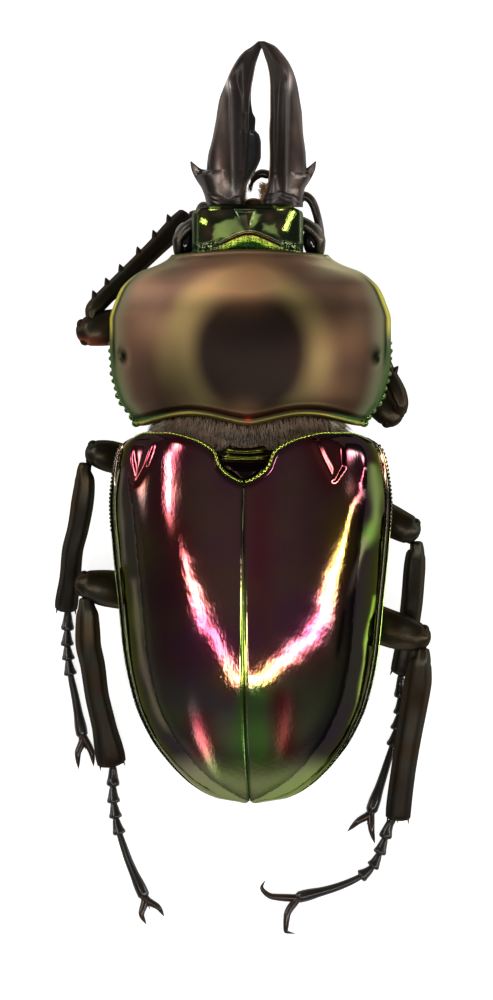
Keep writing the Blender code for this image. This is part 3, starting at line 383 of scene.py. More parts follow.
eyeGloss = cuticle("eyeGloss", {"metallic": 0.0, "roughness": 0.07, "drift": 0.3, "grain": 0.0, "pits": 0.12,
                                "pitScale": 12000.0, "relief": 0.15, "reliefDepth": 0.006, "coat": 1.0,
                                "coatRoughness": 0.03})
neckDark = cuticle("neckDark", {"metallic": 0.1, "roughness": 0.65, "drift": 0.6, "driftScale": 700.0,
                                "grain": 1.0, "grainScale": 6000.0, "pits": 0.5, "relief": 0.6,
                                "reliefDepth": 0.05})
hairAmber = cuticle("hairAmber", {"metallic": 0.0, "roughness": 0.5, "drift": 0.6, "driftScale": 1200.0,
                                  "driftTint": (0.5, 0.42, 0.35), "grain": 0.0, "relief": 0.0})
print("materials ready")


# Mix of two colours by an amount at each place.
def mixTint(a, b, amount):
    return np.asarray(a) * (1 - amount[..., None]) + np.asarray(b) * amount[..., None]


wings = {"rows": 300, "columns": 146, "thickness": 0.6, "seamGap": 0.04, "flange": 0.965,
         "wine": (0.46, 0.165, 0.29), "rose": (0.52, 0.075, 0.14), "calm": (0.44, 0.36, 0.4),
         "gold": (0.8, 0.46, 0.09), "green": (0.34, 0.58, 0.22), "flankShade": (0.013, 0.0085, 0.014),
         "apex": (0.22, 0.2, 0.13), "lime": (0.5, 0.68, 0.1), "suture": (0.03, 0.05, 0.02),
         "rim": (0.55, 0.75, 0.1), "beadTint": (0.09, 0.12, 0.05), "underside": 0.5, "beads": 22,
         "beadSize": 0.13, "rimSize": 0.13,
         "creases": {"left": ((-8.65, 3.3), (-8.65, 2.4), (-8.27, 0.6), (-7.6, 1.8), (-7.07, 3.3)),
                     "right": ((5.3, 3.6), (5.9, 2.25), (6.65, 0.83), (7.18, 1.8), (7.1, 3.22))},
         # Where the rose tint is laid along the light bands as painted reflection colour: lines of (distance
         # from the suture, y)
         "reflectionLines": {"left": (((0.35, -14.4), (1.95, -11.7), (3.3, -9.15), (4.05, -7.1), (4.95, -3.75),
                                 (5.9, -1.65), (5.8, 0.75), (5.0, 3.45)),
                                ((3.5, -17.4), (3.1, -19.0), (3.3, -20.8))),
                       "right": (((0.85, -14.1), (4.15, -11.9), (5.8, -9.6), (7.15, -4.95), (7.7, -2.4),
                                  (8.4, -0.75), (9.3, 1.8)), ((2.8, -15.7), (2.9, -19.6)))},
         # Painted reflection lines on the steep flanks, dark and light: (line of (distance inward, y), width,
         # tint)
         "flankReflections": {"left": ((((1.7, -6.8), (1.65, -12.0), (1.9, -18.0)), 0.28, (0.1, 0.062, 0.07)),
                              (((0.55, 3.0), (0.6, -3.0), (0.7, -8.0)), 0.09, (0.62, 0.58, 0.42)),
                              (((1.0, 1.5), (1.15, -3.0), (1.1, -5.5)), 0.16, (0.1, 0.06, 0.11)),
                              (((0.5, -9.5), (0.6, -14.0), (0.45, -19.0)), 0.07, (0.42, 0.45, 0.3))),
                     "right": ((((0.9, 1.8), (0.95, -2.2), (1.5, -4.2)), 0.34, (0.22, 0.29, 0.1)),
                               (((1.5, -3.6), (2.0, -6.0), (2.4, -8.0)), 0.18, (0.33, 0.25, 0.2)),
                               (((2.5, -9.0), (2.7, -12.5)), 0.2, (0.07, 0.04, 0.05)),
                               (((0.55, -8.0), (0.85, -11.5), (0.5, -17.5)), 0.11, (0.42, 0.5, 0.14)))}}


# Height of the wing cases along the suture: falls off as a square towards the head and as a square and a
# fourth power towards the apex.
def wingHeight(y):
    back, ahead = np.maximum(-5 - y, 0), np.maximum(y + 5, 0)
    return 6.62 - 0.00517 * back ** 2 - 0.0000278 * back ** 4 - 0.0195 * ahead ** 2


# Wing case sheet: s runs from base to apex and v from the suture to the side. The height is a flattened
# dome across, times the height along. A swelling squares the shoulder and a low crease bends round its
# hollow, the side ends in a narrow gutter with a raised edge, and a fine ridge follows the suture.
def wingSheet(s, v, side, inset=0.0):
    sideY = 3.9 + (-23.47 - 3.9) * s
    seamY = 0.62 + (-23.32 - 0.62) * s
    front = smoothValue(8.9 * v, wingFront)
    y = seamY + (sideY - seamY) * (front - 0.62) / 3.28
    half = np.maximum(smoothValue(sideY, wingWidth) - inset, 0.25)
    x = wings["seamGap"] / 2 + v * (half - wings["seamGap"] / 2)
    place = np.clip(x / np.maximum(smoothValue(y, wingWidth) - inset, 0.25), 0, 1)
    place = place + (v - place) * ramp(v, 0.75, 0.97)
    high = np.maximum(wingHeight(y) * (1 - 0.05 * bump(front - y, 0.3)) - inset, 0.2)
    z = smoothValue(y, wingEdgeZ) + high * dome(np.clip(place / wings["flange"], 0, 1), 2.6, 0.46)
    z += 0.4 * bump(x - 9.15, 0.75) * bump(y - 2.0, 1.7) - inset * 0.6 * v ** 6
    if inset == 0.0:
        mirror = -1.0 if side == "left" else 1.0
        z += 0.13 * bump(lineGap(x * mirror, y, wings["creases"][side]), 0.27)
        inward = (1 - v) * half
        z += 0.1 * bump(inward - 0.05, 0.08) * ramp(s, 0.0, 0.04)
        z += 0.008 * bump(v * half - 0.08, 0.04) - 0.012 * bump(v * half - 0.2, 0.06)
        z += 0.003 * np.sin(y * 2.3 + 4 * v) * np.sin(v * 9.0 + y * 0.7)
    return np.stack((x, y + inset * s ** 12, z), axis=-1)


# Share of the straight-up direction in the normal of a sheet, at each of its points.
def uprightness(sheet):
    normal = np.cross(np.gradient(sheet, axis=1), np.gradient(sheet, axis=0))
    return np.abs(normal[..., 2]) / (np.linalg.norm(normal, axis=-1) + 1e-12)


# Wing case colour: wine that turns grey towards side and apex; rose and gold laid where the light bands run,
# as painted reflection colour; a green painted reflection beside the suture at the rear; painted shade, near
# black, where it is steep; painted reflection lines on the flanks; lime at the edges, stronger on the right
# as a painted highlight; and a lime painted highlight along the middle of the suture.
def wingTint(s, v, sheet, side):
    x, y = sheet[..., 0], sheet[..., 1]
    half = smoothValue(3.9 - 27.37 * s, wingWidth)
    inward = (1 - v) * half
    seam = v * half
    name = "left" if side < 0 else "right"
    warmReflection = bump(lineGap(x * side, y, wings["creases"][name]), 1.1)
    for line in wings["reflectionLines"][name]:
        warmReflection = np.maximum(warmReflection, bump(lineGap(x, y, line), 1.2))
    colour = mixTint(wings["wine"], wings["calm"], ramp(-y, 12.5, 16.0))
    colour = mixTint(colour, wings["calm"], 0.7 * ramp(v, 0.6, 0.8))
    # Painted light: a darker patch on the left case, painted shade, and a rose painted reflection beside the
    # suture on the right.
    colour = colour * (1 - 0.3 * bump(y + 6.5, 4.5) * bump(x - 6.5, 3.5) * (side < 0))[..., None]
    colour = mixTint(colour, wings["rose"], 0.7 * bump(x - 1.3, 1.1) * bump(y + 4.0, 7.5) * (side > 0))
    colour = mixTint(colour, wings["rose"], warmReflection)
    # Gold painted reflection colour on the light bands, strong on the right case, and a little near the
    # suture at the rear.
    colour = mixTint(colour, wings["gold"], (0.95 if side > 0 else 0.3) * bump(v - 0.7, 0.12)
                     * bump(y + 4.2, 3.6))
    colour = mixTint(colour, wings["gold"], 0.5 * bump(v - 0.15, 0.14) * bump(y + 14.2, 1.2))
    # Green painted reflection beside the suture at the rear.
    rear = ramp(-y, 14.0, 15.5) * ramp(23.0 + y, 0.0, 3.5)
    wedge = 0.4 + 0.12 * np.maximum(-y - 15, 0)
    patch = bump(seam - 0.9, 0.8) if side > 0 else 0.8 * bump(seam - 0.15, wedge)
    colour = mixTint(colour, wings["green"], np.clip(rear * patch * 1.1, 0, 1))
    # Painted shade: the steep sides are turned near black.
    steep = ramp(0.86 - uprightness(sheet), 0.0, 0.16)
    colour = mixTint(colour, wings["flankShade"], 0.97 * steep)
    # Painted reflection lines on the flanks.
    for line, width, tint in wings["flankReflections"][name]:
        ends = ramp(line[0][1] + 0.8 - y, 0.0, 1.2) * ramp(y - line[-1][1] + 0.8, 0.0, 1.6)
        wave = 1 + 0.25 * np.sin(y * 1.7 + side)
        colour = mixTint(colour, tint, ends * bump(lineGap(inward, y, line), width * wave))
    colour = mixTint(colour, wings["apex"], ramp(-y - 0.25 * np.abs(x - 2.0), 18.6, 21.0))
    # Lime along the edge: the green of the edge itself, and on the right case a stronger painted highlight.
    edge = 0.15 if side < 0 else 0.8 * bump(y + 12, 6.5) + 0.15
    colour = mixTint(colour, wings["lime"], edge * bump(inward - 0.1, 0.1))
    colour = mixTint(colour, wings["suture"], bump(seam, 0.14) * 0.9)
    # A lime painted highlight along the middle of the suture.
    thread = np.clip(bump(seam - 0.13, 0.12) * 1.2 * bump(y + 12.0, 3.4), 0, 1)
    colour = mixTint(colour, wings["lime"], thread)
    return colour


# Both wing cases, each with a rim along its front edge and small beads along the shoulder.
def makeWings():
    s = 1 - (1 - np.linspace(0, 1, wings["rows"])) ** 1.35
    v = 1 - (1 - np.linspace(0, 1, wings["columns"])) ** 1.45
    v = np.unique(np.concatenate((v, np.linspace(0, 0.06, 16))))
    gridS, gridV = np.meshgrid(s, v, indexing="ij")
    for side, sign in (("left", -1.0), ("right", 1.0)):
        flip = np.array((sign, 1.0, 1.0))
        top = wingSheet(gridS, gridV, side)
        bottom = wingSheet(gridS, gridV, side, wings["thickness"])
        colour = wingTint(gridS, gridV, top, sign).reshape(-1, 3)
        lumps = [walledSheets(leaned(top * flip, leanHind), leaned(bottom * flip, leanHind))]
        # The lower sheet takes the tint at half strength, painted shade.
        makePiece("wingCase_" + side, lumps, mirrorWine, ["elytron_" + side],
                  np.concatenate((colour, colour * wings["underside"])))
        edge = top[0, :: 2] * flip + np.array((0.0, -0.03, -0.04))
        edge = edge[(np.abs(edge[:, 0]) > 0.12) & (np.abs(edge[:, 0]) < 8.6)]
        path = densePath(leaned(edge, leanHind), 260)
        thick = wings["rimSize"] * (0.55 + 0.45 * ramp(np.abs(path[:, 0] - bodyX), 6.0, 3.0))
        thick = thick * (1 + 0.12 * np.sin(np.arange(260) * 0.9))
        rim = tube(np.column_stack((path, thick, thick)), 14)
        beads = []
        for share in np.linspace(0, 1, wings["beads"]):
            y = 3.3 - 6.3 * share
            reach = float(smoothValue(y, wingWidth)) - 0.02
            place = leaned(np.array((sign * reach, y, float(smoothValue(y, wingEdgeZ)) + 0.05)), leanHind)
            size = wings["beadSize"] * (1 - 0.3 * share)
            beads.append(ball(place, (size, size * 1.1, size), 8, 12))
        tints = np.concatenate([np.tile(wings["rim"], (len(rim[0]), 1))]
                               + [np.tile(wings["beadTint"], (len(points), 1)) for points, faces in beads])
        makePiece("wingRim_" + side, [rim] + beads, leafGreen, [], tints)


shield = {"front": 18.05, "rear": 4.8, "corner": 8.6, "neck": 5.8, "beads": 12, "beadSize": 0.3,
          "centre": (0.3, 10.4), "dark": (0.036, 0.025, 0.021), "ring": (0.33, 0.26, 0.11),
          "outer": (0.145, 0.09, 0.06), "warmReflection": (0.4, 0.23, 0.12), "olive": (0.27, 0.26, 0.16),
          "green": (0.05, 0.13, 0.035), "gold": (0.8, 0.72, 0.12), "pit": (0.01, 0.01, 0.01),
          "groove": (0.012, 0.02, 0.01), "rearGroove": (0.02, 0.012, 0.01), "rearGlow": (0.3, 0.09, 0.06),
          "rearGlint": (0.8, 0.1, 0.08), "beadTint": (0.14, 0.26, 0.07), "rows": 200, "columns": 240,
          # Orange-brown painted reflection patches: (place, size, amount)
          "patches": (((-7.0, 11.9), 1.4, 0.35), ((7.1, 11.3), 1.5, 0.4), ((6.9, 7.2), 1.5, 0.5),
                      ((-0.3, 5.3), 1.1, 0.8), ((0.2, 15.6), 1.7, 1.0), ((-2.2, 15.2), 1.4, 0.4))}


# Front margin of the pronotum: falls back as a power of the distance from the middle.
def shieldFront(x):
    return shield["front"] - 0.42 * (np.hypot(x, 0.6) / shield["neck"]) ** 1.6


# Rear margin of the pronotum: bends forward at each side as a sine to the power 1.5.
def shieldRear(x):
    return shield["rear"] + 0.72 * np.sin(np.clip(np.abs(x) / shield["corner"], 0, 1) * math.pi) ** 1.5


# Pronotum: u runs from rear to front and v across. A flattened dome on margins that bend in plan, with a
# double rim at the rear, a thin rim in front, a lip along each side and a pit inside each side margin.
def shieldSheet(u, v):
    sideY = shield["rear"] + 0.05 + (17.75 - shield["rear"] - 0.05) * u
    half = smoothValue(sideY, pronotumWidth)
    rear = shieldRear(v * shield["corner"])
    front = shieldFront(v * shield["neck"])
    y = rear + (front - rear) * u
    softened = sum(smoothValue(y + shift, pronotumWidth) for shift in (-1.2, -0.6, 0.0, 0.6, 1.2)) / 5
    place = np.clip(np.abs(v) * half / softened, 0, 1)
    place = place + (np.abs(v) - place) * ramp(np.abs(v), 0.5, 0.95)
    margin = 1 - 0.12 * bump(y - rear, 0.7) - 0.16 * bump(front - y, 0.8)
    z = smoothValue(y, pronotumEdgeZ) + (5.3 - 0.0525 * (y - 10.8) ** 2) * dome(place, 2.2, 0.58) * margin
    behind = y - rear
    z += 0.14 * bump(behind - 0.2, 0.14) - 0.12 * bump(behind - 0.55, 0.16) + 0.06 * bump(behind - 0.85, 0.14)
    z += 0.06 * bump(front - y - 0.14, 0.1) - 0.05 * bump(front - y - 0.4, 0.14)
    z -= 0.6 * bump(np.abs(v) - 0.9, 0.032) * bump(y - 10.0, 0.6)
    inward = (1 - np.abs(v)) * half
    z += 0.14 * bump(inward - 0.1, 0.14) - 0.1 * bump(inward - 0.42, 0.16)
    return np.stack((v * half, y, z), axis=-1)


# Pronotum with its colours: a painted reflection of a dark disc with bronze round it and orange-brown
# patches, olive sides, green margins, gold and green painted highlights on the raised rims, painted shade in
# the pits and grooves; and the beads along its sides.
def makeShield():
    u = np.linspace(0, 1, shield["rows"])
    v = np.sin(np.linspace(-1, 1, shield["columns"]) * math.pi / 2)
    gridU, gridV = np.meshgrid(u, v, indexing="ij")
    top = shieldSheet(gridU, gridV)
    bottom = top.copy()
    bottom[..., 0] *= 0.955
    bottom[..., 2] = smoothValue(top[..., 1], pronotumEdgeZ) - 0.6 - 0.5 * (1 - gridV ** 2)
    y = top[..., 1]
    half = smoothValue(shield["rear"] + 0.05 + 12.9 * gridU, pronotumWidth)
    inward = (1 - np.abs(gridV)) * half
    rearGap = y - shieldRear(gridV * shield["corner"])
    frontGap = shieldFront(gridV * shield["neck"]) - y
    x = top[..., 0]
    away = np.hypot(x - shield["centre"][0], (y - shield["centre"][1])
                    * np.where(y < shield["centre"][1], 0.84, 0.96))
    around = np.arctan2(y - shield["centre"][1], x - shield["centre"][0])
    spread = 0.45 + 0.4 * np.cos(around - 2.9) - 0.8 * np.maximum(np.sin(around), 0)
    # Painted reflection: a dark disc in the middle, bronze round it and the outer tone beyond, and darker
    # patches near the rear corners.
    colour = mixTint(shield["dark"], shield["ring"], ramp(away, 3.4, 5.2))
    colour = mixTint(colour, shield["outer"], ramp(away, 5.2 + spread, 7.0 + spread))
    colour = mixTint(colour, shield["dark"], 0.6 * bump(np.hypot(x + 5.2, y - 7.0), 2.3))
    colour = mixTint(colour, shield["dark"], 0.45 * bump(np.hypot(x - 4.6, y - 6.6), 1.8))
    # Orange-brown painted reflection patches.
    for place, size, amount in shield["patches"]:
        colour = mixTint(colour, shield["warmReflection"], amount
                         * bump(np.hypot((x - place[0]) * 0.8, y - place[1]), size))
    # The light falls from behind, so the front is tinted stronger and the right side weaker
    light = 1 + (1.4 + 0.9 * bump(x, 3.0)) * ramp(y, 13.4, 15.4) - 0.3 * ramp(y, 16.2, 17.2)
    light *= 1 - 0.35 * ramp(x, 5.2, 7.4) + 0.6 * ramp(-x, 5.5, 7.5)
    colour = colour * light[..., None]
    colour = colour / np.maximum(colour.max(axis=-1, keepdims=True), 1.0)
    colour = mixTint(colour, shield["olive"], ramp(np.abs(gridV), 0.83, 0.97))
    # Painted shade in the pit inside each side margin.
    colour = mixTint(colour, shield["pit"], bump(np.abs(gridV) - 0.9, 0.03) * bump(y - 10.0, 0.6))
    # Olive front corners, painted brighter towards the right side as painted light.
    corner = np.array(shield["olive"]) * (1.0 + 1.6 * ramp(x, 0.0, 4.0))[..., None]
    colour = mixTint(colour, corner, 0.85 * ramp(np.abs(x), 3.5, 6.5) * ramp(y, 15.4, 16.8))
    colour = mixTint(colour, shield["green"], 0.85 * bump(inward, 0.6) * ramp(12.5 - y, 0.0, 2.5))
    # Painted shade along the groove inside the side lip.
    colour = mixTint(colour, shield["groove"], 0.9 * bump(inward - 0.36, 0.13) * ramp(y, 8.5, 10.5)
                     * ramp(16.4 - y, 0.0, 1.5))
    # Gold painted highlight along the side lip.
    colour = mixTint(colour, shield["gold"], bump(inward - 0.12, 0.14) * ramp(y, 11.0, 12.5)
                     * ramp(16.4 - y, 0.0, 1.5))
    # Painted shade along the rear groove.
    colour = mixTint(colour, shield["rearGroove"], 0.9 * bump(rearGap - 0.5, 0.2))
    # Gold painted highlight on the rear rim.
    colour = mixTint(colour, shield["gold"], (0.35 + 0.5 * ramp(np.abs(x), 2.0, 5.0))
                     * bump(rearGap - 0.2, 0.09))
    colour = mixTint(colour, shield["rearGlow"], 0.8 * bump(rearGap - 0.8, 0.12) * bump(x, 4.5))
    # Green painted glints at both ends of the rear margin.
    colour = mixTint(colour, shield["green"], 0.8 * bump(rearGap - 0.4, 0.16) * ramp(np.abs(x), 5.5, 7.5))
    colour = mixTint(colour, shield["green"], 0.5 * bump(frontGap - 0.1, 0.16))
    # A red painted glint at the middle of the rear margin.
    colour = mixTint(colour, shield["rearGlint"], 0.8 * bump(x, 0.22) * bump(rearGap - 0.45, 0.3))
    # The lower sheet takes the tint at 0.35 of its strength, painted shade.
    colour = np.concatenate((colour.reshape(-1, 3), (colour * 0.35).reshape(-1, 3)))
    lumps = [walledSheets(leaned(top, leanFore), leaned(bottom, leanFore))]
    makePiece("pronotumShield", lumps, satinBronze, ["pronotum"], colour)
    beads = []
    for sign in (-1, 1):
        for k in range(shield["beads"]):
            share = k / (shield["beads"] - 1)
            yBead = 5.0 + 6.0 * share ** 1.05
            size = shield["beadSize"] * (1 + 0.15 * math.sin(k * 2.1)) * (1.0 - 0.45 * share)
            reach = float(smoothValue(yBead, pronotumWidth)) - 0.06
            place = leaned(np.array((sign * reach, yBead, float(smoothValue(yBead, pronotumEdgeZ)))),
                           leanFore)
            beads.append(ball(place, (size * 1.15, size, size), 12, 16))
    makePiece("pronotumBeads", beads, leafGreen, [], shield["beadTint"])


belly = {"rows": 90, "columns": 96, "plates": 5, "front": -8.6, "rear": -22.0, "olive": (0.12, 0.13, 0.05),
         "frontHalf": ((6.2, 5.6), (7.2, 6.6), (9.5, 7.3), (12.5, 7.4), (15.2, 6.4), (16.6, 5.2)),
         "frontLow": ((6.2, 1.5), (7.2, 2.3), (9.5, 2.9), (12.5, 3.0), (15.2, 2.6), (16.6, 1.7))}


# Body section: a domed back over a shallower belly, at each place along the body.
def bodyRings(y, high, low, columns):
    half = smoothValue(y, wingWidth)[:, None] - 1.25
    sideZ = smoothValue(y, wingEdgeZ)[:, None] - 0.15
    angle = np.linspace(0, 2 * math.pi, columns, endpoint=False)[None]
    v = np.cos(angle)
    z = np.where(np.sin(angle) >= 0, sideZ + high[:, None] * dome(v), sideZ - low[:, None]
                 * dome(v, 2.0, 0.6))
    return np.stack((v * half, y[:, None] + 0 * v, z), axis=-1)


# Underside: abdomen with stepped plates, rear breast with a keel, and front breast.
def makeBelly():
    y = np.linspace(belly["front"], belly["rear"], belly["rows"])
    share = (y - belly["front"]) / (belly["rear"] - belly["front"]) * belly["plates"]
    step = share - np.floor(share)
    low = smoothValue(y, bellyDepth) + 0.12 * ramp(step, 0.0, 0.14) - 0.22 * ramp(step, 0.86, 1.0)
    rings = bodyRings(y, smoothValue(y, wingDome) - 1.25, low, belly["columns"])
    shrink = np.array((0.8, 0.5, 0.2))[:, None]
    tail = np.repeat(rings[-1:], 3, axis=0)
    middle = tail.mean(axis=1, keepdims=True)
    tail = middle + (tail - middle) * shrink[:, None]
    tail[..., 1] -= np.array((0.15, 0.27, 0.34))[:, None]
    rings = leaned(np.concatenate((rings, tail)), leanHind)
    makePiece("abdomenPlates", [ringBody(rings)], bellyOlive, ["abdomen"], belly["olive"])
    y = np.linspace(2.9, -8.3, 80)
    high = smoothValue(y, ((-8.3, 5.0), (-2.5, 5.1), (-0.6, 4.3), (0.3, 2.5), (2.9, 2.1)))
    rings = bodyRings(y, high, smoothValue(y, bellyDepth), belly["columns"])
    keel = np.maximum(0, -np.sin(np.linspace(0, 2 * math.pi, belly["columns"], endpoint=False)))[None]
    rings[..., 2] += 0.16 * keel * bump(rings[..., 0], 0.22)
    makePiece("breastPlates", [ringBody(leaned(rings, leanHind))], bellyOlive,
              ["metasternum"], belly["olive"])
    y = np.linspace(6.2, 16.6, 60)
    half = smoothValue(y, belly["frontHalf"])[:, None]
    low = smoothValue(y, belly["frontLow"])[:, None]
    top = smoothValue(y, pronotumEdgeZ)[:, None] - 1.3
    angle = np.linspace(0, 2 * math.pi, 90, endpoint=False)[None]
    v = np.cos(angle)
    z = np.where(np.sin(angle) >= 0, top + 0.2 * np.sin(angle), top - 0.35 * np.minimum(1, -np.sin(angle) * 4)
                 - low * dome(v, 2.0, 0.6))
    rings = np.stack((v * half, y[:, None] + 0 * v, z), axis=-1)
    makePiece("foreBreast", [ringBody(leaned(rings, leanFore))], bellyOlive,
              ["prosternum"], belly["olive"])


waist = {"half": 7.1, "floor": 6.6, "height": 3.0, "dark": (0.035, 0.026, 0.018),
         "shieldDark": (0.035, 0.02, 0.02), "shieldHighlight": (0.6, 0.72, 0.12), "shieldFront": 3.35,
         "shieldLength": 2.6, "shieldFloor": 9.55,
         "shieldWidth": ((0, 1.3), (0.1, 1.6), (0.25, 1.86), (0.42, 1.85), (0.6, 1.62), (0.8, 1.15),
                         (0.93, 0.6), (1, 0.15))}


# Waist between the pronotum and the wing cases, and the rounded shield between the wing bases: domed sheets
# over a floor. The shield has cross ridges and a rim, with lime painted highlights on the ridge crests and
# the rim.
def makeWaist():
    v = np.linspace(-1, 1, 90)
    share = np.linspace(0, 1, 24)[:, None]
    x = v * waist["half"]
    front = shieldRear(x) + 0.1
    rear = np.maximum(smoothValue(np.abs(x), wingFront) - 0.1, 2.9)
    y = front + (rear - front) * share
    swell = 0.35 * np.sin(share * math.pi) + 0.25 * bump(v, 0.3) * share
    z = waist["floor"] + waist["height"] * dome(v, 3.0, 0.5) + swell
    top = np.stack((x + 0 * y, y, z + 0 * y), axis=-1)
    bottom = np.stack((x * 0.93 + 0 * y, y, 6.1 - 3.0 * dome(v, 2.0, 0.6) + 0 * y), axis=-1)
    makePiece("waist", [walledSheets(leaned(top, leanHind), leaned(bottom, leanHind))], neckDark,
              ["mesothorax"], waist["dark"])
    u, w = np.meshgrid(np.linspace(0, 1, 90), np.sin(np.linspace(-1, 1, 80) * math.pi / 2), indexing="ij")
    half = smoothValue(u, waist["shieldWidth"])
    y = waist["shieldFront"] - waist["shieldLength"] * u - 0.22 * (1 - w ** 2) * (1 - u)
    z = 10.35 + 1.15 * ramp(u, 0.0, 0.75) - 0.3 * w ** 4
    z += 0.12 * bump(u - 0.1, 0.03) + 0.2 * bump(u - 0.3, 0.04)
    z -= 0.1 * bump(u - 0.2, 0.05) + 0.06 * bump(u - 0.4, 0.06)
    z += 0.1 * bump(np.abs(w) - 0.97, 0.06) * ramp(u, 0.3, 0.5)
    top = np.stack((w * half, y, z), axis=-1)
    bottom = top.copy()
    bottom[..., 2] = waist["shieldFloor"]
    # Lime painted highlights on the crests of the cross ridges and on the rim.
    crest = 0.7 * bump(u - 0.11, 0.035) + bump(u - 0.31, 0.05) + 0.25 * bump(np.abs(w) - 0.97, 0.06)
    crest = np.clip(crest, 0, 1) * ramp(1.02 - np.abs(w), 0.0, 0.2)
    colour = mixTint(waist["shieldDark"], waist["shieldHighlight"], crest).reshape(-1, 3)
    makePiece("scutellumShield", [walledSheets(leaned(top, leanHind), leaned(bottom, leanHind))], leafGreen,
              ["scutellum"], np.concatenate((colour, colour)))


skull = {"x": 0.34, "half": 4.28, "front": 21.4, "green": (0.09, 0.12, 0.065), "brown": (0.38, 0.25, 0.16),
         "leaf": (0.42, 0.57, 0.17), "dim": (0.13, 0.14, 0.07), "bright": (0.5, 0.78, 0.07),
         "yellowHighlight": (0.85, 0.85, 0.16), "deep": (0.06, 0.24, 0.05), "glint": (0.85, 1.0, 0.45),
         "copper": (0.34, 0.12, 0.03), "eyeSize": (0.78, 1.3, 0.62),
         "eyes": {"left": (-4.5, 18.75, 6.95), "right": (5.15, 18.75, 6.95)},
         "canthus": ((3.5, 20.2, 7.6), (4.25, 19.85, 8.0), (4.95, 19.3, 8.05), (5.32, 18.6, 7.95),
                     (5.3, 17.9, 7.7), (4.9, 17.3, 7.1)),
         "canthusSize": (0.46, 0.5, 0.46, 0.42, 0.36, 0.2),
         "facets": (((-2.45, 19.95), (-1.05, 20.33), (-0.42, 19.42), (-0.6, 19.3), (-1.8, 18.85),
                     (-2.9, 18.55)),
                    ((0.45, 20.7), (0.92, 20.63), (0.83, 20.3), (0.1, 19.48), (0.12, 20.2)),
                    ((1.13, 19.88), (1.95, 19.95), (2.2, 19.05), (1.05, 19.4))),
         "wedge": ((-1.0, 20.9), (0.4, 20.9), (0.02, 19.5), (-0.35, 19.55)),
         "spots": ((-3.05, 19.35, 0.4, 0.55), (2.35, 19.75, 0.35, 0.5), (-2.3, 20.7, 0.6, 0.3),
                   (2.6, 20.85, 0.5, 0.25), (-3.4, 20.75, 0.3, 0.3), (1.5, 20.4, 0.4, 0.4)),
         "tilt": (-0.1, 0.178), "top": 9.25, "floor": 4.9, "crestY": 17.8, "crestRise": 1.25, "rows": 190,
         "columns": 240, "leftGlint": (-3.39, 20.1),
         "rightGlint": ((3.28, 20.75), (2.95, 20.1), (2.72, 19.5)), "rightMiddle": (3.0, 20.1),
         "frontGlints": (((-2.9, 21.05), (-2.2, 21.12)), ((1.9, 21.2), (2.35, 21.05), (3.1, 21.22))),
         "shade": ((-1.05, 20.45), (-0.2, 20.6), (-0.02, 19.6), (-0.45, 19.4)),
         "puncture": (0.02, 0.05, 0.015),
         # The right bar's tint is lighter than the left's: painted highlight.
         "canthusTint": {"left": (0.1, 0.09, 0.072), "right": (0.14, 0.125, 0.095)},
         "eye": (0.012, 0.012, 0.014)}
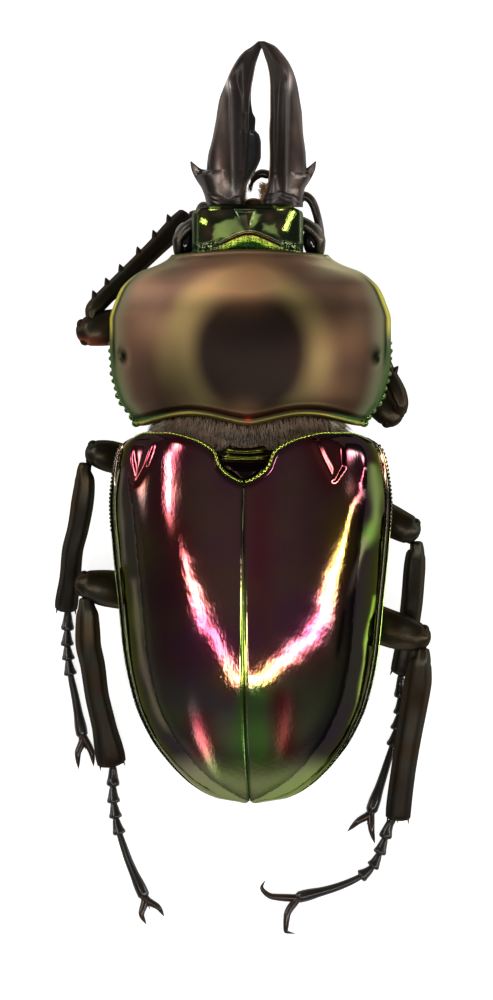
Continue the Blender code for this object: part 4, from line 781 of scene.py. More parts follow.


# Head: u runs from rear to front and v across. An arched crest crosses the plate near its rear, its back
# leans at one slope and then falls away, pitted all over. In front lie a shallow middle wedge, flat
# facets and small patches that lean back like the crest. Facets and crest are satin, by a mask. The
# facets are painted lighter olive as a painted reflection; the crest, the patches and the front ridge
# lines are painted bright lime as painted highlights, with painted glints among the pits at the crest's ends.
def makeHead():
    u, v = np.meshgrid(np.linspace(-0.3, 1, skull["rows"]), np.linspace(-1, 1, skull["columns"]),
                       indexing="ij")
    half = skull["half"] * (1 - 0.14 * np.clip(u, 0, 1) ** 22)
    rear = shieldFront(v * skull["half"]) + 0.3
    y = rear + (skull["front"] - 0.35 * v ** 6 - rear) * u
    x = v * half * (1 - 0.05 * ramp(v, 0.0, 1.0))
    a = np.abs(v)
    arch = y - skull["crestY"] - skull["crestRise"] * bump(x, 2.2)
    ends = ramp(np.abs(x), 1.6, 2.8)
    dots = np.sin(x * 17 + 3 * np.sin(y * 9 + x * 2)) * np.sin(y * 21 + 2.5 * np.sin(x * 7 - y * 3))
    pitted = ramp(0.1 - arch, 0.0, 0.12) + ends * ramp(0.75 - arch, 0.0, 0.3) * ramp(0.1 + arch, 0.0, 0.1)
    leftX, leftY = skull["leftGlint"]
    rightX, rightY = skull["rightMiddle"]
    leftSpot = bump(np.hypot((x - leftX) / 0.24, (y - leftY) / 0.3), 1.0)
    rightSpot = bump(lineGap(x, y, skull["rightGlint"]), 0.2)
    frontLine = np.maximum(*(bump(lineGap(x, y, line), 0.1) for line in skull["frontGlints"]))
    wedge = insideOf(x, y, skull["wedge"], 0.12)
    top = skull["top"] - 0.25 * ramp(y, 21.0, 21.4) - 0.4 * a ** 22
    top -= 0.2 * np.clip(-arch, 0, 0.42) + 0.45 * np.maximum(-arch - 0.42, 0) + 0.05 * bump(arch - 0.2, 0.12)
    top -= 0.014 * ramp(dots, 0.1, 0.7) * np.clip(pitted, 0, 1)
    for spot, middleX, middleY in ((leftSpot, leftX, leftY), (rightSpot, rightX, rightY)):
        top += ramp(spot, 0.15, 0.6) * ((x - middleX) * skull["tilt"][0] + (y - middleY) * skull["tilt"][1])
    top += 0.03 * frontLine - 0.12 * wedge * ramp(y, 19.4, 20.4)
    upper = np.stack((skull["x"] + x, y, top), axis=-1)
    lower = np.stack((skull["x"] + x * 0.92, y, skull["floor"] + 0.7 * v ** 4), axis=-1)
    wander = 0.05 * np.sin(5.0 * x + 3.0 * y) + 0.04 * np.sin(11.0 * y - 4.0 * x)
    # Painted reflection: lighter olive facets on the flat plate.
    facets = sum(insideOf(x + wander, y - wander, corners, 0.2) for corners in skull["facets"])
    facets = np.clip(facets, 0, 1) * ramp(arch, 0.25, 0.4) * (0.85 + 0.15 * np.sin(2.1 * x + 1.3 * y))
    dim = insideOf(x, y, skull["shade"], 0.1)
    colour = mixTint(skull["green"], skull["dim"], 0.5 * ramp(a, 0.9, 0.99))
    for across, along, wide, deep in skull["spots"]:
        colour = mixTint(colour, skull["brown"], 0.9 * bump(x - across, wide) * bump(y - along, deep))
    colour = mixTint(colour, skull["dim"], 0.8 * dim)
    colour = mixTint(colour, skull["leaf"], facets)
    colour = mixTint(colour, skull["brown"], 0.6 * wedge * bump(x - 0.02, 0.22))
    colour = mixTint(colour, skull["copper"], 0.9 * bump(arch - 0.17, 0.1) * ramp(2.4 - np.abs(x), 0.0, 1.2))
    # Painted highlight: bright lime along the crest, and a lemon tone along its edge.
    crest = ramp(-arch, -0.06, 0.06)
    colour = mixTint(colour, skull["bright"], crest * (1 - 0.75 * ends))
    colour = mixTint(colour, skull["yellowHighlight"], 0.8 * bump(arch + 0.1, 0.13) * (1 - 0.5 * ends))
    colour = mixTint(colour, skull["deep"], ramp(-arch, 0.36, 0.6))
    colour = mixTint(colour, skull["puncture"], 0.8 * ends * np.clip(pitted, 0, 1))
    colour = colour * (1 - 0.9 * ramp(dots, 0.0, 0.45) * np.clip(pitted, 0, 1))[..., None]
    # Painted glints: white-green sparkles among the pits at the ends of the crest.
    colour = mixTint(colour, skull["glint"], ramp(-dots, 0.45, 0.85) * np.clip(pitted, 0, 1) * ends
                     * ramp(4.0 - np.abs(x), 0, 0.6))
    # Painted highlights: bright lime and light green on the patches that lean back and on the front ridge
    # lines.
    glint = np.clip(leftSpot + rightSpot * (1 - 0.5 * ramp(dots, 0.2, 0.8)) + frontLine, 0, 1)
    colour = mixTint(colour, skull["bright"], np.clip(1.3 * glint, 0, 1))
    colour = mixTint(colour, skull["glint"], 0.5 * glint ** 4).reshape(-1, 3)
    satin = facets + dim + 0.9 * crest + 0.5 * glint + 0.8 * ends * pitted + 0.6 * ramp(a, 0.9, 0.99)
    satin = np.clip(satin, 0, 1).ravel()
    lumps = [walledSheets(upper, lower)]
    # The lower sheet takes the tint at 0.4 of its strength, painted shade.
    tints = [np.concatenate((colour, colour * 0.4))]
    masks = [satin, satin * 0]
    for side, sign in (("left", -1), ("right", 1)):
        stations = [(skull["x"] + sign * across, along, high, size, size)
                    for (across, along, high), size in zip(skull["canthus"], skull["canthusSize"])]
        bar = tube(densePath(stations, 48), 24)
        lumps.append(bar)
        tints.append(np.tile(skull["canthusTint"][side], (len(bar[0]), 1)))
        masks.append(np.full(len(bar[0]), 0.6))
    makePiece("headPlate", lumps, headGreen, ["head"], np.concatenate(tints),
              {"satin": np.concatenate(masks)})
    for side, centre in skull["eyes"].items():
        shape = ball(centre, skull["eyeSize"], 40, 60)
        makePiece("eyeBall_" + side, [shape], eyeGloss, ["eye_" + side], skull["eye"])


jaws = {"left": ((21.75, -2.59, 0.04), (22.8, -2.74, 0.19), (23.85, -2.85, 0.79), (25.05, -2.74, 1.24),
                 (25.95, -2.51, 1.24), (26.6, -2.36, 1.1), (27.0, -2.29, 0.79), (27.75, -2.14, 0.83),
                 (28.3, -2.06, 0.6), (29.25, -1.88, 0.49), (30.0, -1.61, 0.53), (30.9, -1.24, 0.68),
                 (31.8, -0.79, 0.86), (32.7, -0.11, 1.16), (33.15, 0.56, 1.31), (33.5, 1.0, 1.25)),
        "right": ((21.75, 4.39, 1.3), (22.8, 4.54, 1.69), (23.85, 4.65, 1.84), (25.05, 4.61, 1.88),
                  (26.85, 4.39, 1.84), (28.2, 4.31, 1.91), (29.1, 4.16, 1.91), (30.0, 4.01, 1.91),
                  (30.9, 3.79, 1.86), (31.8, 3.41, 1.69), (32.25, 3.11, 1.54), (32.7, 2.74, 1.39),
                  (33.15, 2.29, 1.2), (33.5, 1.5, 1.0)),
        "ridge": {"left": ((21.7, -0.8), (25.5, -0.94), (29.3, -1.0), (30.6, -1.2), (33.5, -0.2)),
                  "right": ((21.7, 3.1), (25.5, 3.15), (29.3, 3.2), (30.8, 3.25), (33.5, 2.2))},
        "blade": ((21.75, -0.2), (24.0, 0.1), (27.0, 0.28), (29.5, 0.45), (30.2, 0.8)),
        "flange": ((21.2, -2.72), (21.5, -2.86), (22.1, -3.02), (22.6, -3.22), (23.1, -3.52), (23.4, -3.66),
                   (23.6, -3.62), (23.76, -3.4), (23.9, -3.1), (24.02, -2.75), (24.1, -2.62)),
        "prong": ((0.0, -3.0, 22.3, -2.5, 24.05, 7.0, 0.42), (0.25, -3.3, 22.75, -2.9, 24.02, 7.15, 0.36),
                  (0.48, -3.6, 23.2, -3.2, 24.06, 7.25, 0.31), (0.68, -3.82, 23.62, -3.46, 24.2, 7.4, 0.24),
                  (0.86, -4.0, 24.1, -3.7, 24.4, 7.55, 0.15), (1.0, -4.07, 24.6, -3.99, 24.64, 7.7, 0.02)),
        "prongMirror": 0.656, "horn": (0.06, 0.048, 0.042), "litMauve": (0.34, 0.25, 0.21),
        "amber": (0.36, 0.19, 0.05), "paleHighlight": (0.5, 0.47, 0.43), "bladeTint": (0.045, 0.05, 0.058),
        "start": 21.2, "base": 21.75, "tip": 33.5, "prongTop": 24.1, "rootHeight": 7.0, "upturn": 6.0,
        "spotY": 30.55, "thickness": ((0, 1.25), (0.3, 1.3), (0.6, 1.1), (0.85, 0.7), (1.0, 0.12))}


# Jaw: rings across Y from the outer and inner edges. The middle rises as share ** 1.7. A straight ridge
# divides the sloping outer face from a hollowed upper face, and a lower blade runs along the inner edge of
# the left jaw. The prong is a lens of rings between a long lower edge and a hollow upper edge.
def makeJaw(side):
    table = jaws[side]
    sign = 1.0 if side == "left" else -1.0
    y = np.linspace(jaws["start"], jaws["tip"], 230)
    y = np.unique(np.concatenate((y, np.linspace(23.4, jaws["prongTop"], 50))))
    inside = np.clip(y, jaws["base"], jaws["tip"])
    outer = smoothValue(inside, [(row[0], row[1]) for row in table])
    inner = smoothValue(inside, [(row[0], row[2]) for row in table])
    body = outer[:, None]
    flange = np.where(y < jaws["prongTop"], smoothValue(y, jaws["flange"]), 9.0)
    mirrored = 2 * jaws["prongMirror"] - flange
    outer = np.minimum(outer, flange) if side == "left" else np.maximum(outer, mirrored)
    share = (inside - jaws["base"]) / (jaws["tip"] - jaws["base"])
    high = smoothValue(share, jaws["thickness"])[:, None]
    centre = (jaws["rootHeight"] + jaws["upturn"] * share ** 1.7 - 0.5 * sign * share ** 3)[:, None]
    middle, half = ((outer + inner) / 2)[:, None], (np.abs(inner - outer) / 2)[:, None]
    angle = np.linspace(0, 2 * math.pi, 110, endpoint=False)[None]
    across, rise = -sign * np.cos(angle), np.sin(angle)
    x = middle + half * across
    thin = 1 - 0.55 * ramp((body - x) * sign, 0.0, 1.2)
    z = centre + high * thin * np.sign(rise) * np.abs(rise) ** 0.8
    up = ramp(rise, 0.05, 0.45)
    ridge = smoothValue(y, jaws["ridge"][side])[:, None]
    fade = (ramp(share, -0.04, 0.22) * ramp(1 - share, 0.1, 0.3))[:, None]
    gap = (x - ridge) * sign
    z += up * fade * (0.16 * bump(gap, 0.16) - 0.34 * bump(gap - 0.62, 0.42) - 0.22 * bump(gap + 0.8, 0.5))
    fold = y[:, None] - 21.95 + 0.25 * np.sin(2.6 * across + sign) + 0.06 * np.sin(9 * across)
    z -= 0.07 * up * (bump(fold, 0.12) + 0.8 * bump(fold + 0.35, 0.09))
    step = 0.0 * x
    if side == "left":
        step = ramp(x - smoothValue(y, jaws["blade"])[:, None], -0.08, 0.08) * fade
        z -= 0.5 * up * step
    rings = np.stack((x, y[:, None] + 0 * across, z), axis=-1)
    tipLine = 0.4 * bump(gap - 0.1, 0.25) * (share[:, None] > 0.7)
    # Painted highlight: the outer face, the tip's ridge line and the tip's outer part are painted lighter
    # brown-violet where light falls, weaker on the right jaw.
    face = bump(gap + 0.8, 0.5) * ramp(0.78 - share[:, None], 0.0, 0.35) + tipLine
    face = face * ramp(share, -0.02, 0.08)[:, None] + 0.35 * ramp(share, 0.72, 0.85)[:, None] * (gap < 0.3)
    patchy = 0.75 + 0.25 * np.sin(y[:, None] * 1.9 + 2.0 * across) * np.sin(y[:, None] * 0.7 - 3.0 * gap)
    colour = mixTint(jaws["horn"], jaws["litMauve"], np.clip(face * patchy, 0, 1)
                     * (1.0 if side == "left" else 0.6))
    # Painted highlight: a light line along the ridge, and a brighter spot near the tip beside a dark mark.
    colour = mixTint(colour, jaws["paleHighlight"], 0.45 * fade * bump(gap, 0.12) * (rise > 0))
    spot = np.hypot((gap + 0.12) / 0.2, (y[:, None] - jaws["spotY"]) / 0.62)
    colour = mixTint(colour, np.array(jaws["paleHighlight"]) * 1.8, 0.95 * bump(spot, 1.0) * (rise > 0))
    spot = np.hypot((gap - 0.12) / 0.13, (y[:, None] - jaws["spotY"] - 0.2) / 0.3)
    colour = mixTint(colour, jaws["horn"], 0.9 * bump(spot, 1.0))
    colour = mixTint(colour, jaws["bladeTint"], 0.9 * step)
    innerEdge = ramp(across * sign, 0.86, 1.0) * ramp(1 - share, 0.02, 0.2)[:, None]
    colour = mixTint(colour, jaws["amber"], innerEdge * (1.0 if side == "right" else 0.25))
    colour = np.concatenate((colour[:1], colour, colour[-1:])).reshape(-1, 3)
    t = np.linspace(0, 1, 48)
    table = jaws["prong"]
    lowX, lowY, highX, highY, level, thick = (smoothValue(t, [(row[0], row[k]) for row in table])[:, None]
                                              for k in range(1, 7))
    if side == "right":
        lowX, highX = 2 * jaws["prongMirror"] - lowX, 2 * jaws["prongMirror"] - highX
    turn = np.linspace(0, 2 * math.pi, 40, endpoint=False)[None]
    reach, lift = np.cos(turn), np.sin(turn)
    hollow = 0.3 * bump(reach - 0.1, 0.5) * (lift > 0)
    prongX = (lowX + highX) / 2 + (highX - lowX) / 2 * reach
    prongY = (lowY + highY) / 2 + (highY - lowY) / 2 * reach
    prong = np.stack((prongX, prongY, level + thick * (lift - hollow)), axis=-1)
    # The prong's upper face is painted lighter brown-violet, a painted highlight.
    rim = np.clip(bump(reach - 0.1, 0.55) * (lift > 0), 0, 1) * ramp(t, 0.1, 0.35)[:, None]
    rim = rim * ramp(1 - t, 0.1, 0.3)[:, None]
    prongTint = mixTint(jaws["horn"], jaws["litMauve"], 0.75 * rim)
    prongTint = np.concatenate((prongTint[:1], prongTint, prongTint[-1:])).reshape(-1, 3)
    makePiece("jaw_" + side, [ringBody(rings), ringBody(prong)], darkHorn,
              ["mandible_" + side], np.concatenate((colour, prongTint)))


feelers = {
    "right": {"scape": ((3.9, 21.5, 6.1), (4.5, 22.05, 6.15), (5.0, 21.7, 6.2), (5.4, 20.7, 6.15),
                        (5.65, 19.4, 6.0), (5.7, 17.9, 5.6)),
              "turn": ((5.7, 17.7, 5.55), (5.3, 16.9, 5.0), (4.6, 17.2, 4.5), (3.9, 17.6, 4.1)),
              "comb": (2.6, 17.9, 3.9)},
    "left": {"scape": ((-2.6, 21.3, 4.9), (-3.1, 21.3, 4.5), (-3.5, 20.3, 4.4), (-3.55, 19.4, 4.35),
                       (-3.55, 18.6, 4.3), (-3.5, 17.8, 4.3)),
             "turn": ((-3.5, 17.7, 4.3), (-3.2, 17.0, 4.1), (-2.6, 17.1, 3.95), (-2.0, 17.5, 3.85)),
             "comb": (-0.7, 17.8, 3.7)},
    "brown": (0.05, 0.032, 0.022)}


# Feeler: a stem, a string of beads that turns under the head, and a comb of four flat teeth.
def makeFeeler(side):
    look = feelers[side]
    path = densePath(look["scape"], 40)
    radius = smoothValue(np.linspace(0, 1, 40), ((0, 0.26), (0.12, 0.36), (0.3, 0.33), (0.6, 0.31),
                                                 (0.9, 0.37), (1.0, 0.3)))
    makePiece("scape_" + side, [tube(np.column_stack((path, radius, radius)), 20)], brownClaw,
              ["antenna_scape_" + side], feelers["brown"])
    path = densePath(look["turn"], 60)
    beat = 0.24 + 0.08 * np.abs(np.sin(np.linspace(0, 6 * math.pi, 60)))
    lumps = [tube(np.column_stack((path, beat, beat)), 16)]
    root, end = np.array(look["turn"][-1]), np.array(look["comb"])
    for share in (0.2, 0.5, 0.8, 1.0):
        start = root + (end - root) * share
        tip = start + np.array((0.0, -1.05, -0.25))
        stations = [(*(start + (tip - start) * t), 0.13, high)
                    for t, high in ((0, 0.2), (0.3, 0.27), (0.8, 0.3), (1.0, 0.2))]
        lumps.append(tube(stations, 14))
    lumps.append(tube([(*(root + (end - root) * t), 0.25, 0.25) for t in (0, 0.5, 1.0)], 14))
    makePiece("club_" + side, lumps, brownClaw, ["antenna_club_" + side], feelers["brown"])


mouth = {"lip": (0.16, 0.08, 0.03), "lipX": 0.67, "lipWidth": ((20.9, 1.0), (21.2, 0.95), (21.42, 0.8)),
         "chinHalf": 2.6, "chinY": 18.9, "chinLength": 2.4, "palp": (0.035, 0.022, 0.016),
         "palpSize": ((0, 0.28), (0.3, 0.25), (0.34, 0.3), (0.6, 0.26), (0.64, 0.34), (0.85, 0.3),
                      (1.0, 0.1)),
         "palps": {"left": ((-0.7, 21.0, 4.7), (-0.9, 21.75, 4.6), (-1.0, 22.4, 4.8), (-0.8, 23.0, 5.0),
                            (-0.5, 23.4, 4.9)),
                   "right": ((1.7, 21.0, 4.7), (2.0, 21.9, 4.7), (2.15, 22.9, 5.0), (1.85, 23.6, 5.2),
                             (1.3, 23.75, 5.2), (0.8, 23.5, 5.1), (0.5, 22.95, 4.9))}}


# Mouth parts: a flat tube for the lip, a rounded plate for the chin, and feelers of jointed width.
def makeMouth():
    lip = tube([(mouth["lipX"], y, 6.3, width, 0.4) for y, width in mouth["lipWidth"]], 24)
    makePiece("upperLip", [lip], brownClaw, ["labrum"], mouth["lip"])
    u, v = np.meshgrid(np.linspace(0, 1, 40), np.linspace(-1, 1, 60), indexing="ij")
    half = mouth["chinHalf"] * (1 - 0.25 * u ** 2)
    chin = np.stack((skull["x"] + v * half, mouth["chinY"] + mouth["chinLength"] * u, 4.9 + 0 * u), axis=-1)
    under = chin.copy()
    under[..., 2] = 4.05 - 0.15 * (1 - v ** 2) + 0.08 * bump(np.abs(v) - 0.9, 0.1)
    makePiece("chinPlate", [walledSheets(chin, under)], bellyOlive, ["mentum"],
              belly["olive"])
    for side, points in mouth["palps"].items():
        path = densePath(points, 50)
        radius = smoothValue(np.linspace(0, 1, 50), mouth["palpSize"])
        makePiece("palpFeeler_" + side, [tube(np.column_stack((path, radius, radius)), 16)], brownClaw,
                  ["palp_" + side], mouth["palp"])


# Legs: stations of (x, y, z, half width, half height), from the body outwards
legs = {
    "left_front": {
        "coxa": (-1.75, 12.2, 2.75),
        "femur": ((-2.9, 12.25, 2.1, 0.5, 0.45), (-3.65, 12.3, 2.0, 0.6, 0.5),
                  (-5.5, 12.4, 2.5, 1.05, 0.75), (-8.0, 12.4, 3.3, 1.35, 0.85),
                  (-10.2, 12.2, 4.0, 1.35, 0.85), (-11.8, 11.9, 4.3, 1.1, 0.75),
                  (-12.3, 11.8, 4.3, 0.7, 0.55)),
        "tibia": ((-11.5, 12.9, 4.35, 0.4, 0.4), (-11.45, 13.45, 4.35, 0.5, 0.45),
                  (-11.0, 13.95, 4.2, 0.62, 0.5), (-9.3, 15.65, 3.4, 0.62, 0.5),
                  (-6.9, 18.0, 2.3, 0.66, 0.5), (-4.9, 20.0, 1.4, 0.78, 0.5),
                  (-4.35, 20.55, 1.15, 0.72, 0.45)),
        "tarsus": ((-4.1, 20.75, 0.8), (-3.75, 20.75, 0.65), (-3.0, 20.2, 0.42), (-2.3, 19.0, 0.36),
                   (-1.6, 17.4, 0.34), (-1.2, 15.6, 0.36)),
        "claws": (((-1.2, 15.3, 0.35), (-1.5, 14.6, 0.5), (-1.9, 14.0, 0.3)),
                  ((-1.0, 15.3, 0.35), (-0.6, 14.6, 0.5), (-0.3, 14.0, 0.3))),
        "spines": (0.14, 0.26, 0.41, 0.58, 0.75, 0.9), "spineSide": 1, "spine": 0.42, "spurs": 1},
    "right_front": {
        "coxa": (2.65, 12.2, 2.75),
        "femur": ((3.8, 12.1, 2.0, 0.5, 0.45), (4.5, 11.8, 1.85, 0.6, 0.5), (6.0, 10.8, 2.1, 1.0, 0.7),
                  (8.0, 8.9, 2.5, 1.25, 0.75), (9.8, 7.0, 2.9, 1.25, 0.75), (10.9, 5.75, 3.1, 1.1, 0.7),
                  (11.3, 5.2, 3.1, 0.7, 0.55)),
        "tibia": ((11.7, 5.9, 4.3, 0.45, 0.4), (11.75, 6.4, 4.7, 0.52, 0.45), (11.45, 7.3, 4.65, 0.66, 0.5),
                  (10.5, 9.2, 4.1, 0.62, 0.5), (9.85, 11.2, 3.1, 0.64, 0.5), (9.0, 13.6, 1.7, 0.76, 0.5),
                  (8.55, 14.9, 1.15, 0.72, 0.45)),
        "tarsus": ((8.3, 15.4, 0.8), (8.0, 15.7, 0.65), (7.1, 16.0, 0.42), (5.8, 16.5, 0.36),
                   (4.3, 16.9, 0.34), (2.9, 17.0, 0.36)),
        "claws": (((2.6, 17.1, 0.35), (1.9, 17.5, 0.5), (1.3, 17.9, 0.3)),
                  ((2.6, 16.9, 0.35), (1.9, 16.4, 0.5), (1.4, 16.0, 0.3))),
        "spines": (0.3, 0.45, 0.6, 0.75, 0.9), "spineSide": -1, "spine": 0.4, "spurs": 1},
    "left_middle": {
        "coxa": (-1.85, 1.3, 2.6),
        "femur": ((-2.9, 1.3, 2.0, 0.5, 0.45), (-3.7, 1.3, 1.95, 0.6, 0.5), (-5.5, 1.6, 2.4, 0.95, 0.75),
                  (-8.0, 2.0, 3.3, 1.15, 0.85), (-10.0, 2.5, 4.1, 1.2, 0.85), (-11.2, 2.75, 4.5, 1.0, 0.8),
                  (-11.65, 2.8, 4.55, 0.65, 0.6)),
        "tibia": ((-11.95, 1.9, 4.5, 0.45, 0.45), (-12.05, 1.4, 4.5, 0.52, 0.5),
                  (-12.0, 0.75, 4.4, 0.7, 0.55), (-12.19, -1.05, 3.9, 0.8, 0.6),
                  (-12.5, -2.85, 3.2, 0.76, 0.6), (-12.94, -4.65, 2.6, 0.75, 0.58),
                  (-13.1, -6.45, 1.9, 0.75, 0.55), (-13.4, -8.6, 1.1, 0.82, 0.5),
                  (-13.42, -8.9, 0.95, 0.78, 0.45)),
        "tarsus": ((-13.3, -9.1, 0.8), (-13.3, -9.5, 0.6), (-13.35, -11.3, 0.4), (-13.2, -13.2, 0.36),
                   (-12.7, -15.8, 0.36), (-12.2, -18.6, 0.4)),
        "claws": (((-12.2, -18.8, 0.4), (-12.55, -19.9, 0.55), (-12.5, -21.0, 0.25)),
                  ((-12.0, -18.8, 0.4), (-11.5, -19.8, 0.55), (-11.35, -20.8, 0.25))),
        "spines": (), "spineSide": -1, "spine": 0.0, "spurs": 3},
    "right_middle": {
        "coxa": (2.75, 1.3, 2.6),
        "femur": ((3.9, 1.3, 2.0, 0.5, 0.45), (4.6, 1.1, 1.95, 0.6, 0.5), (6.2, 0.2, 2.35, 0.95, 0.75),
                  (8.6, -0.9, 3.2, 1.15, 0.85), (10.8, -2.2, 4.0, 1.2, 0.85), (12.3, -2.95, 4.4, 1.1, 0.8),
                  (12.85, -3.15, 4.45, 0.7, 0.6)),
        "tibia": ((12.9, -4.0, 4.3, 0.45, 0.45), (12.95, -4.5, 4.2, 0.52, 0.5),
                  (12.85, -4.9, 4.05, 0.7, 0.55), (12.75, -6.2, 3.3, 0.78, 0.6),
                  (12.6, -8.2, 2.4, 0.78, 0.58), (12.3, -10.6, 1.7, 0.75, 0.55),
                  (11.9, -13.2, 1.15, 0.8, 0.5), (11.75, -13.7, 1.0, 0.74, 0.45)),
        "tarsus": ((11.75, -14.0, 0.8), (11.75, -14.35, 0.6), (11.75, -16.0, 0.4), (11.45, -18.0, 0.36),
                   (10.6, -21.0, 0.36), (9.5, -24.3, 0.4)),
        "claws": (((9.4, -24.4, 0.4), (8.6, -24.9, 0.55), (7.75, -25.7, 0.25)),
                  ((9.5, -24.5, 0.4), (9.55, -25.5, 0.55), (9.8, -26.6, 0.25))),
        "spines": (), "spineSide": 1, "spine": 0.0, "spurs": 3},
    "left_hind": {
        "coxa": (-1.85, -7.1, 2.6),
        "femur": ((-2.9, -7.2, 2.0, 0.5, 0.45), (-3.7, -7.3, 1.95, 0.6, 0.5),
                  (-5.5, -7.5, 2.35, 1.05, 0.75), (-8.0, -7.6, 3.2, 1.45, 0.9),
                  (-10.2, -7.4, 4.0, 1.4, 0.9), (-11.8, -7.1, 4.45, 1.1, 0.85),
                  (-12.4, -6.95, 4.5, 0.7, 0.6)),
        "tibia": ((-11.9, -8.2, 4.45, 0.5, 0.45), (-11.85, -8.75, 4.45, 0.6, 0.5),
                  (-11.8, -9.4, 4.3, 0.8, 0.6), (-11.75, -11.4, 3.8, 0.9, 0.62),
                  (-11.4, -13.2, 3.2, 0.88, 0.6), (-11.1, -15.4, 2.5, 0.85, 0.58),
                  (-10.6, -17.6, 1.8, 0.87, 0.55), (-10.1, -20.0, 1.1, 1.05, 0.5),
                  (-10.0, -20.5, 0.95, 1.02, 0.45)),
        "tarsus": ((-9.95, -20.7, 0.8), (-9.9, -21.1, 0.6), (-9.9, -22.6, 0.4), (-9.7, -24.6, 0.36),
                   (-8.9, -27.4, 0.36), (-7.5, -30.7, 0.4)),
        "claws": (((-7.5, -30.9, 0.4), (-7.75, -31.9, 0.55), (-7.4, -32.7, 0.25)),
                  ((-7.3, -30.9, 0.4), (-6.5, -31.4, 0.55), (-6.05, -32.1, 0.25))),
        "spines": (), "spineSide": -1, "spine": 0.0, "spurs": 3},
    "right_hind": {
        "coxa": (2.75, -7.1, 2.6),
        "femur": ((3.9, -7.2, 2.0, 0.5, 0.45), (4.6, -7.5, 1.95, 0.6, 0.5), (6.4, -8.4, 2.3, 1.05, 0.75),
                  (8.8, -9.6, 3.2, 1.45, 0.9), (11.2, -10.5, 4.0, 1.4, 0.9), (13.0, -11.0, 4.45, 1.1, 0.85),
                  (13.65, -11.1, 4.5, 0.7, 0.6)),
        "tibia": ((13.35, -12.0, 4.5, 0.5, 0.45), (13.35, -12.55, 4.5, 0.6, 0.5),
                  (13.2, -13.0, 4.35, 0.8, 0.6), (13.0, -14.6, 3.8, 0.98, 0.62),
                  (12.75, -16.2, 3.2, 0.95, 0.6), (12.3, -18.8, 2.5, 0.9, 0.58),
                  (11.9, -21.4, 1.8, 0.88, 0.55), (11.6, -23.9, 1.1, 0.9, 0.5),
                  (11.55, -24.6, 0.95, 0.88, 0.45)),
        "tarsus": ((11.2, -24.8, 0.8), (10.9, -25.2, 0.6), (10.4, -26.7, 0.4), (9.5, -28.5, 0.36),
                   (7.2, -29.8, 0.36), (3.9, -30.7, 0.4)),
        "claws": (((3.7, -30.7, 0.4), (2.1, -30.6, 0.6), (1.3, -29.9, 0.45), (1.55, -29.4, 0.25)),
                  ((3.9, -30.9, 0.4), (3.2, -32.0, 0.6), (3.1, -33.2, 0.45), (3.8, -33.4, 0.25))),
        "spines": (), "spineSide": 1, "spine": 0.0, "spurs": 3},
}
legLook = {"kneeReflection": (0.32, 0.1, 0.06), "olive": (0.078, 0.074, 0.05), "dark": (0.04, 0.035, 0.03),
           "knee": (0.16, 0.05, 0.03), "claw": (0.055, 0.032, 0.022), "hip": (1.5, 1.0, 0.85),
           "kneeBall": (0.4, 0.4, 0.42), "footJoints": (0.0, 0.16, 0.28, 0.39, 0.51, 1.0),
           "clawSize": ((0, 0.28), (0.25, 0.3), (0.5, 0.26), (0.8, 0.16), (1.0, 0.02))}


# Spine: a straight path from root to tip whose radius falls off towards the point.
def spineLump(root, tip, radius):
    t = np.linspace(0, 1, 9)
    path = root + (tip - root) * t[:, None]
    size = radius * (1 - t) ** 0.8 + 0.012
    return tube(np.column_stack((path, size, size)), 10)


# Hip and thigh: a flat ball, and a tube whose knee end is dark, with a small ball at each side of the knee.
def makeCoxaAndFemur(key, leg):
    makePiece("hip_" + key, [ball(leg["coxa"], legLook["hip"], 28, 44)], oliveLeg,
              ["coxa_" + key], legLook["olive"])
    path = densePath(leg["femur"], 60)
    body = tube(path, 32, 0.5)
    knee = np.tile(np.linspace(0, 1, len(body[0]) // 32)[:, None], (1, 32)).ravel()
    colour = mixTint(legLook["olive"], legLook["knee"], 0.5 * ramp(knee, 0.86, 0.98)
                     * (body[0][:, 2] < path[-1, 2]))
    colour = mixTint(colour, legLook["dark"], 0.6 * ramp(knee, 0.7, 0.95))
    # An orange-red painted reflection behind the knee end of the left front thigh.
    behind = ramp(path[-1, 1] - body[0][:, 1], 0.0, 0.7) if key == "left_front" else 0 * knee
    colour = mixTint(colour, legLook["kneeReflection"], 0.85 * behind * ramp(knee, 0.72, 0.86))
    along, side, up = pathFrames(path[:, :3])
    lumps, tints = [body], [colour]
    for sign in (-1, 1):
        place = path[-3, :3] + side[-3] * sign * path[-3, 3] * 0.62 + along[-3] * 0.12
        lump = ball(place, legLook["kneeBall"], 14, 20)
        lumps.append(lump)
        tints.append(np.tile(legLook["dark"], (len(lump[0]), 1)))
    makePiece("thigh_" + key, lumps, oliveLeg, ["femur_" + key], np.concatenate(tints))


# Shin: a tube of three faint ridges, with spines along one side and spurs at its end.
def makeTibia(key, leg):
    path = densePath(leg["tibia"], 80)
    body = tube(path, 48, 0.35, None, 0.07)
    lumps = [body]
    along, side, up = pathFrames(path[:, :3])
    for share in leg["spines"]:
        k = int(round(share * (len(path) - 1)))
        out = -leg["spineSide"] * side[k]
        root = path[k, :3] + out * (path[k, 3] - 0.32) - along[k] * 0.15
        tip = path[k, :3] + out * (path[k, 3] + leg["spine"]) + along[k] * 0.2
        lumps.append(spineLump(root, tip, 0.4))
    for number in range(leg["spurs"]):
        out = side[-1] * path[-1, 3] * (0.75 - 0.75 * number)
        root = path[-8, :3] + out * 0.9
        tip = path[-1, :3] + out * 1.25 + along[-1] * 0.5
        tip[2] = max(tip[2] - 0.1, 0.3)
        lumps.append(spineLump(root, tip, 0.2))
    colour = mixTint(legLook["olive"], legLook["dark"], np.linspace(0.3, 1, len(body[0])))
    rest = sum(len(points) for points, faces in lumps[1:])
    tints = np.concatenate((colour, np.tile(legLook["dark"], (rest, 1))))
    makePiece("shin_" + key, lumps, oliveLeg, ["tibia_" + key], tints)


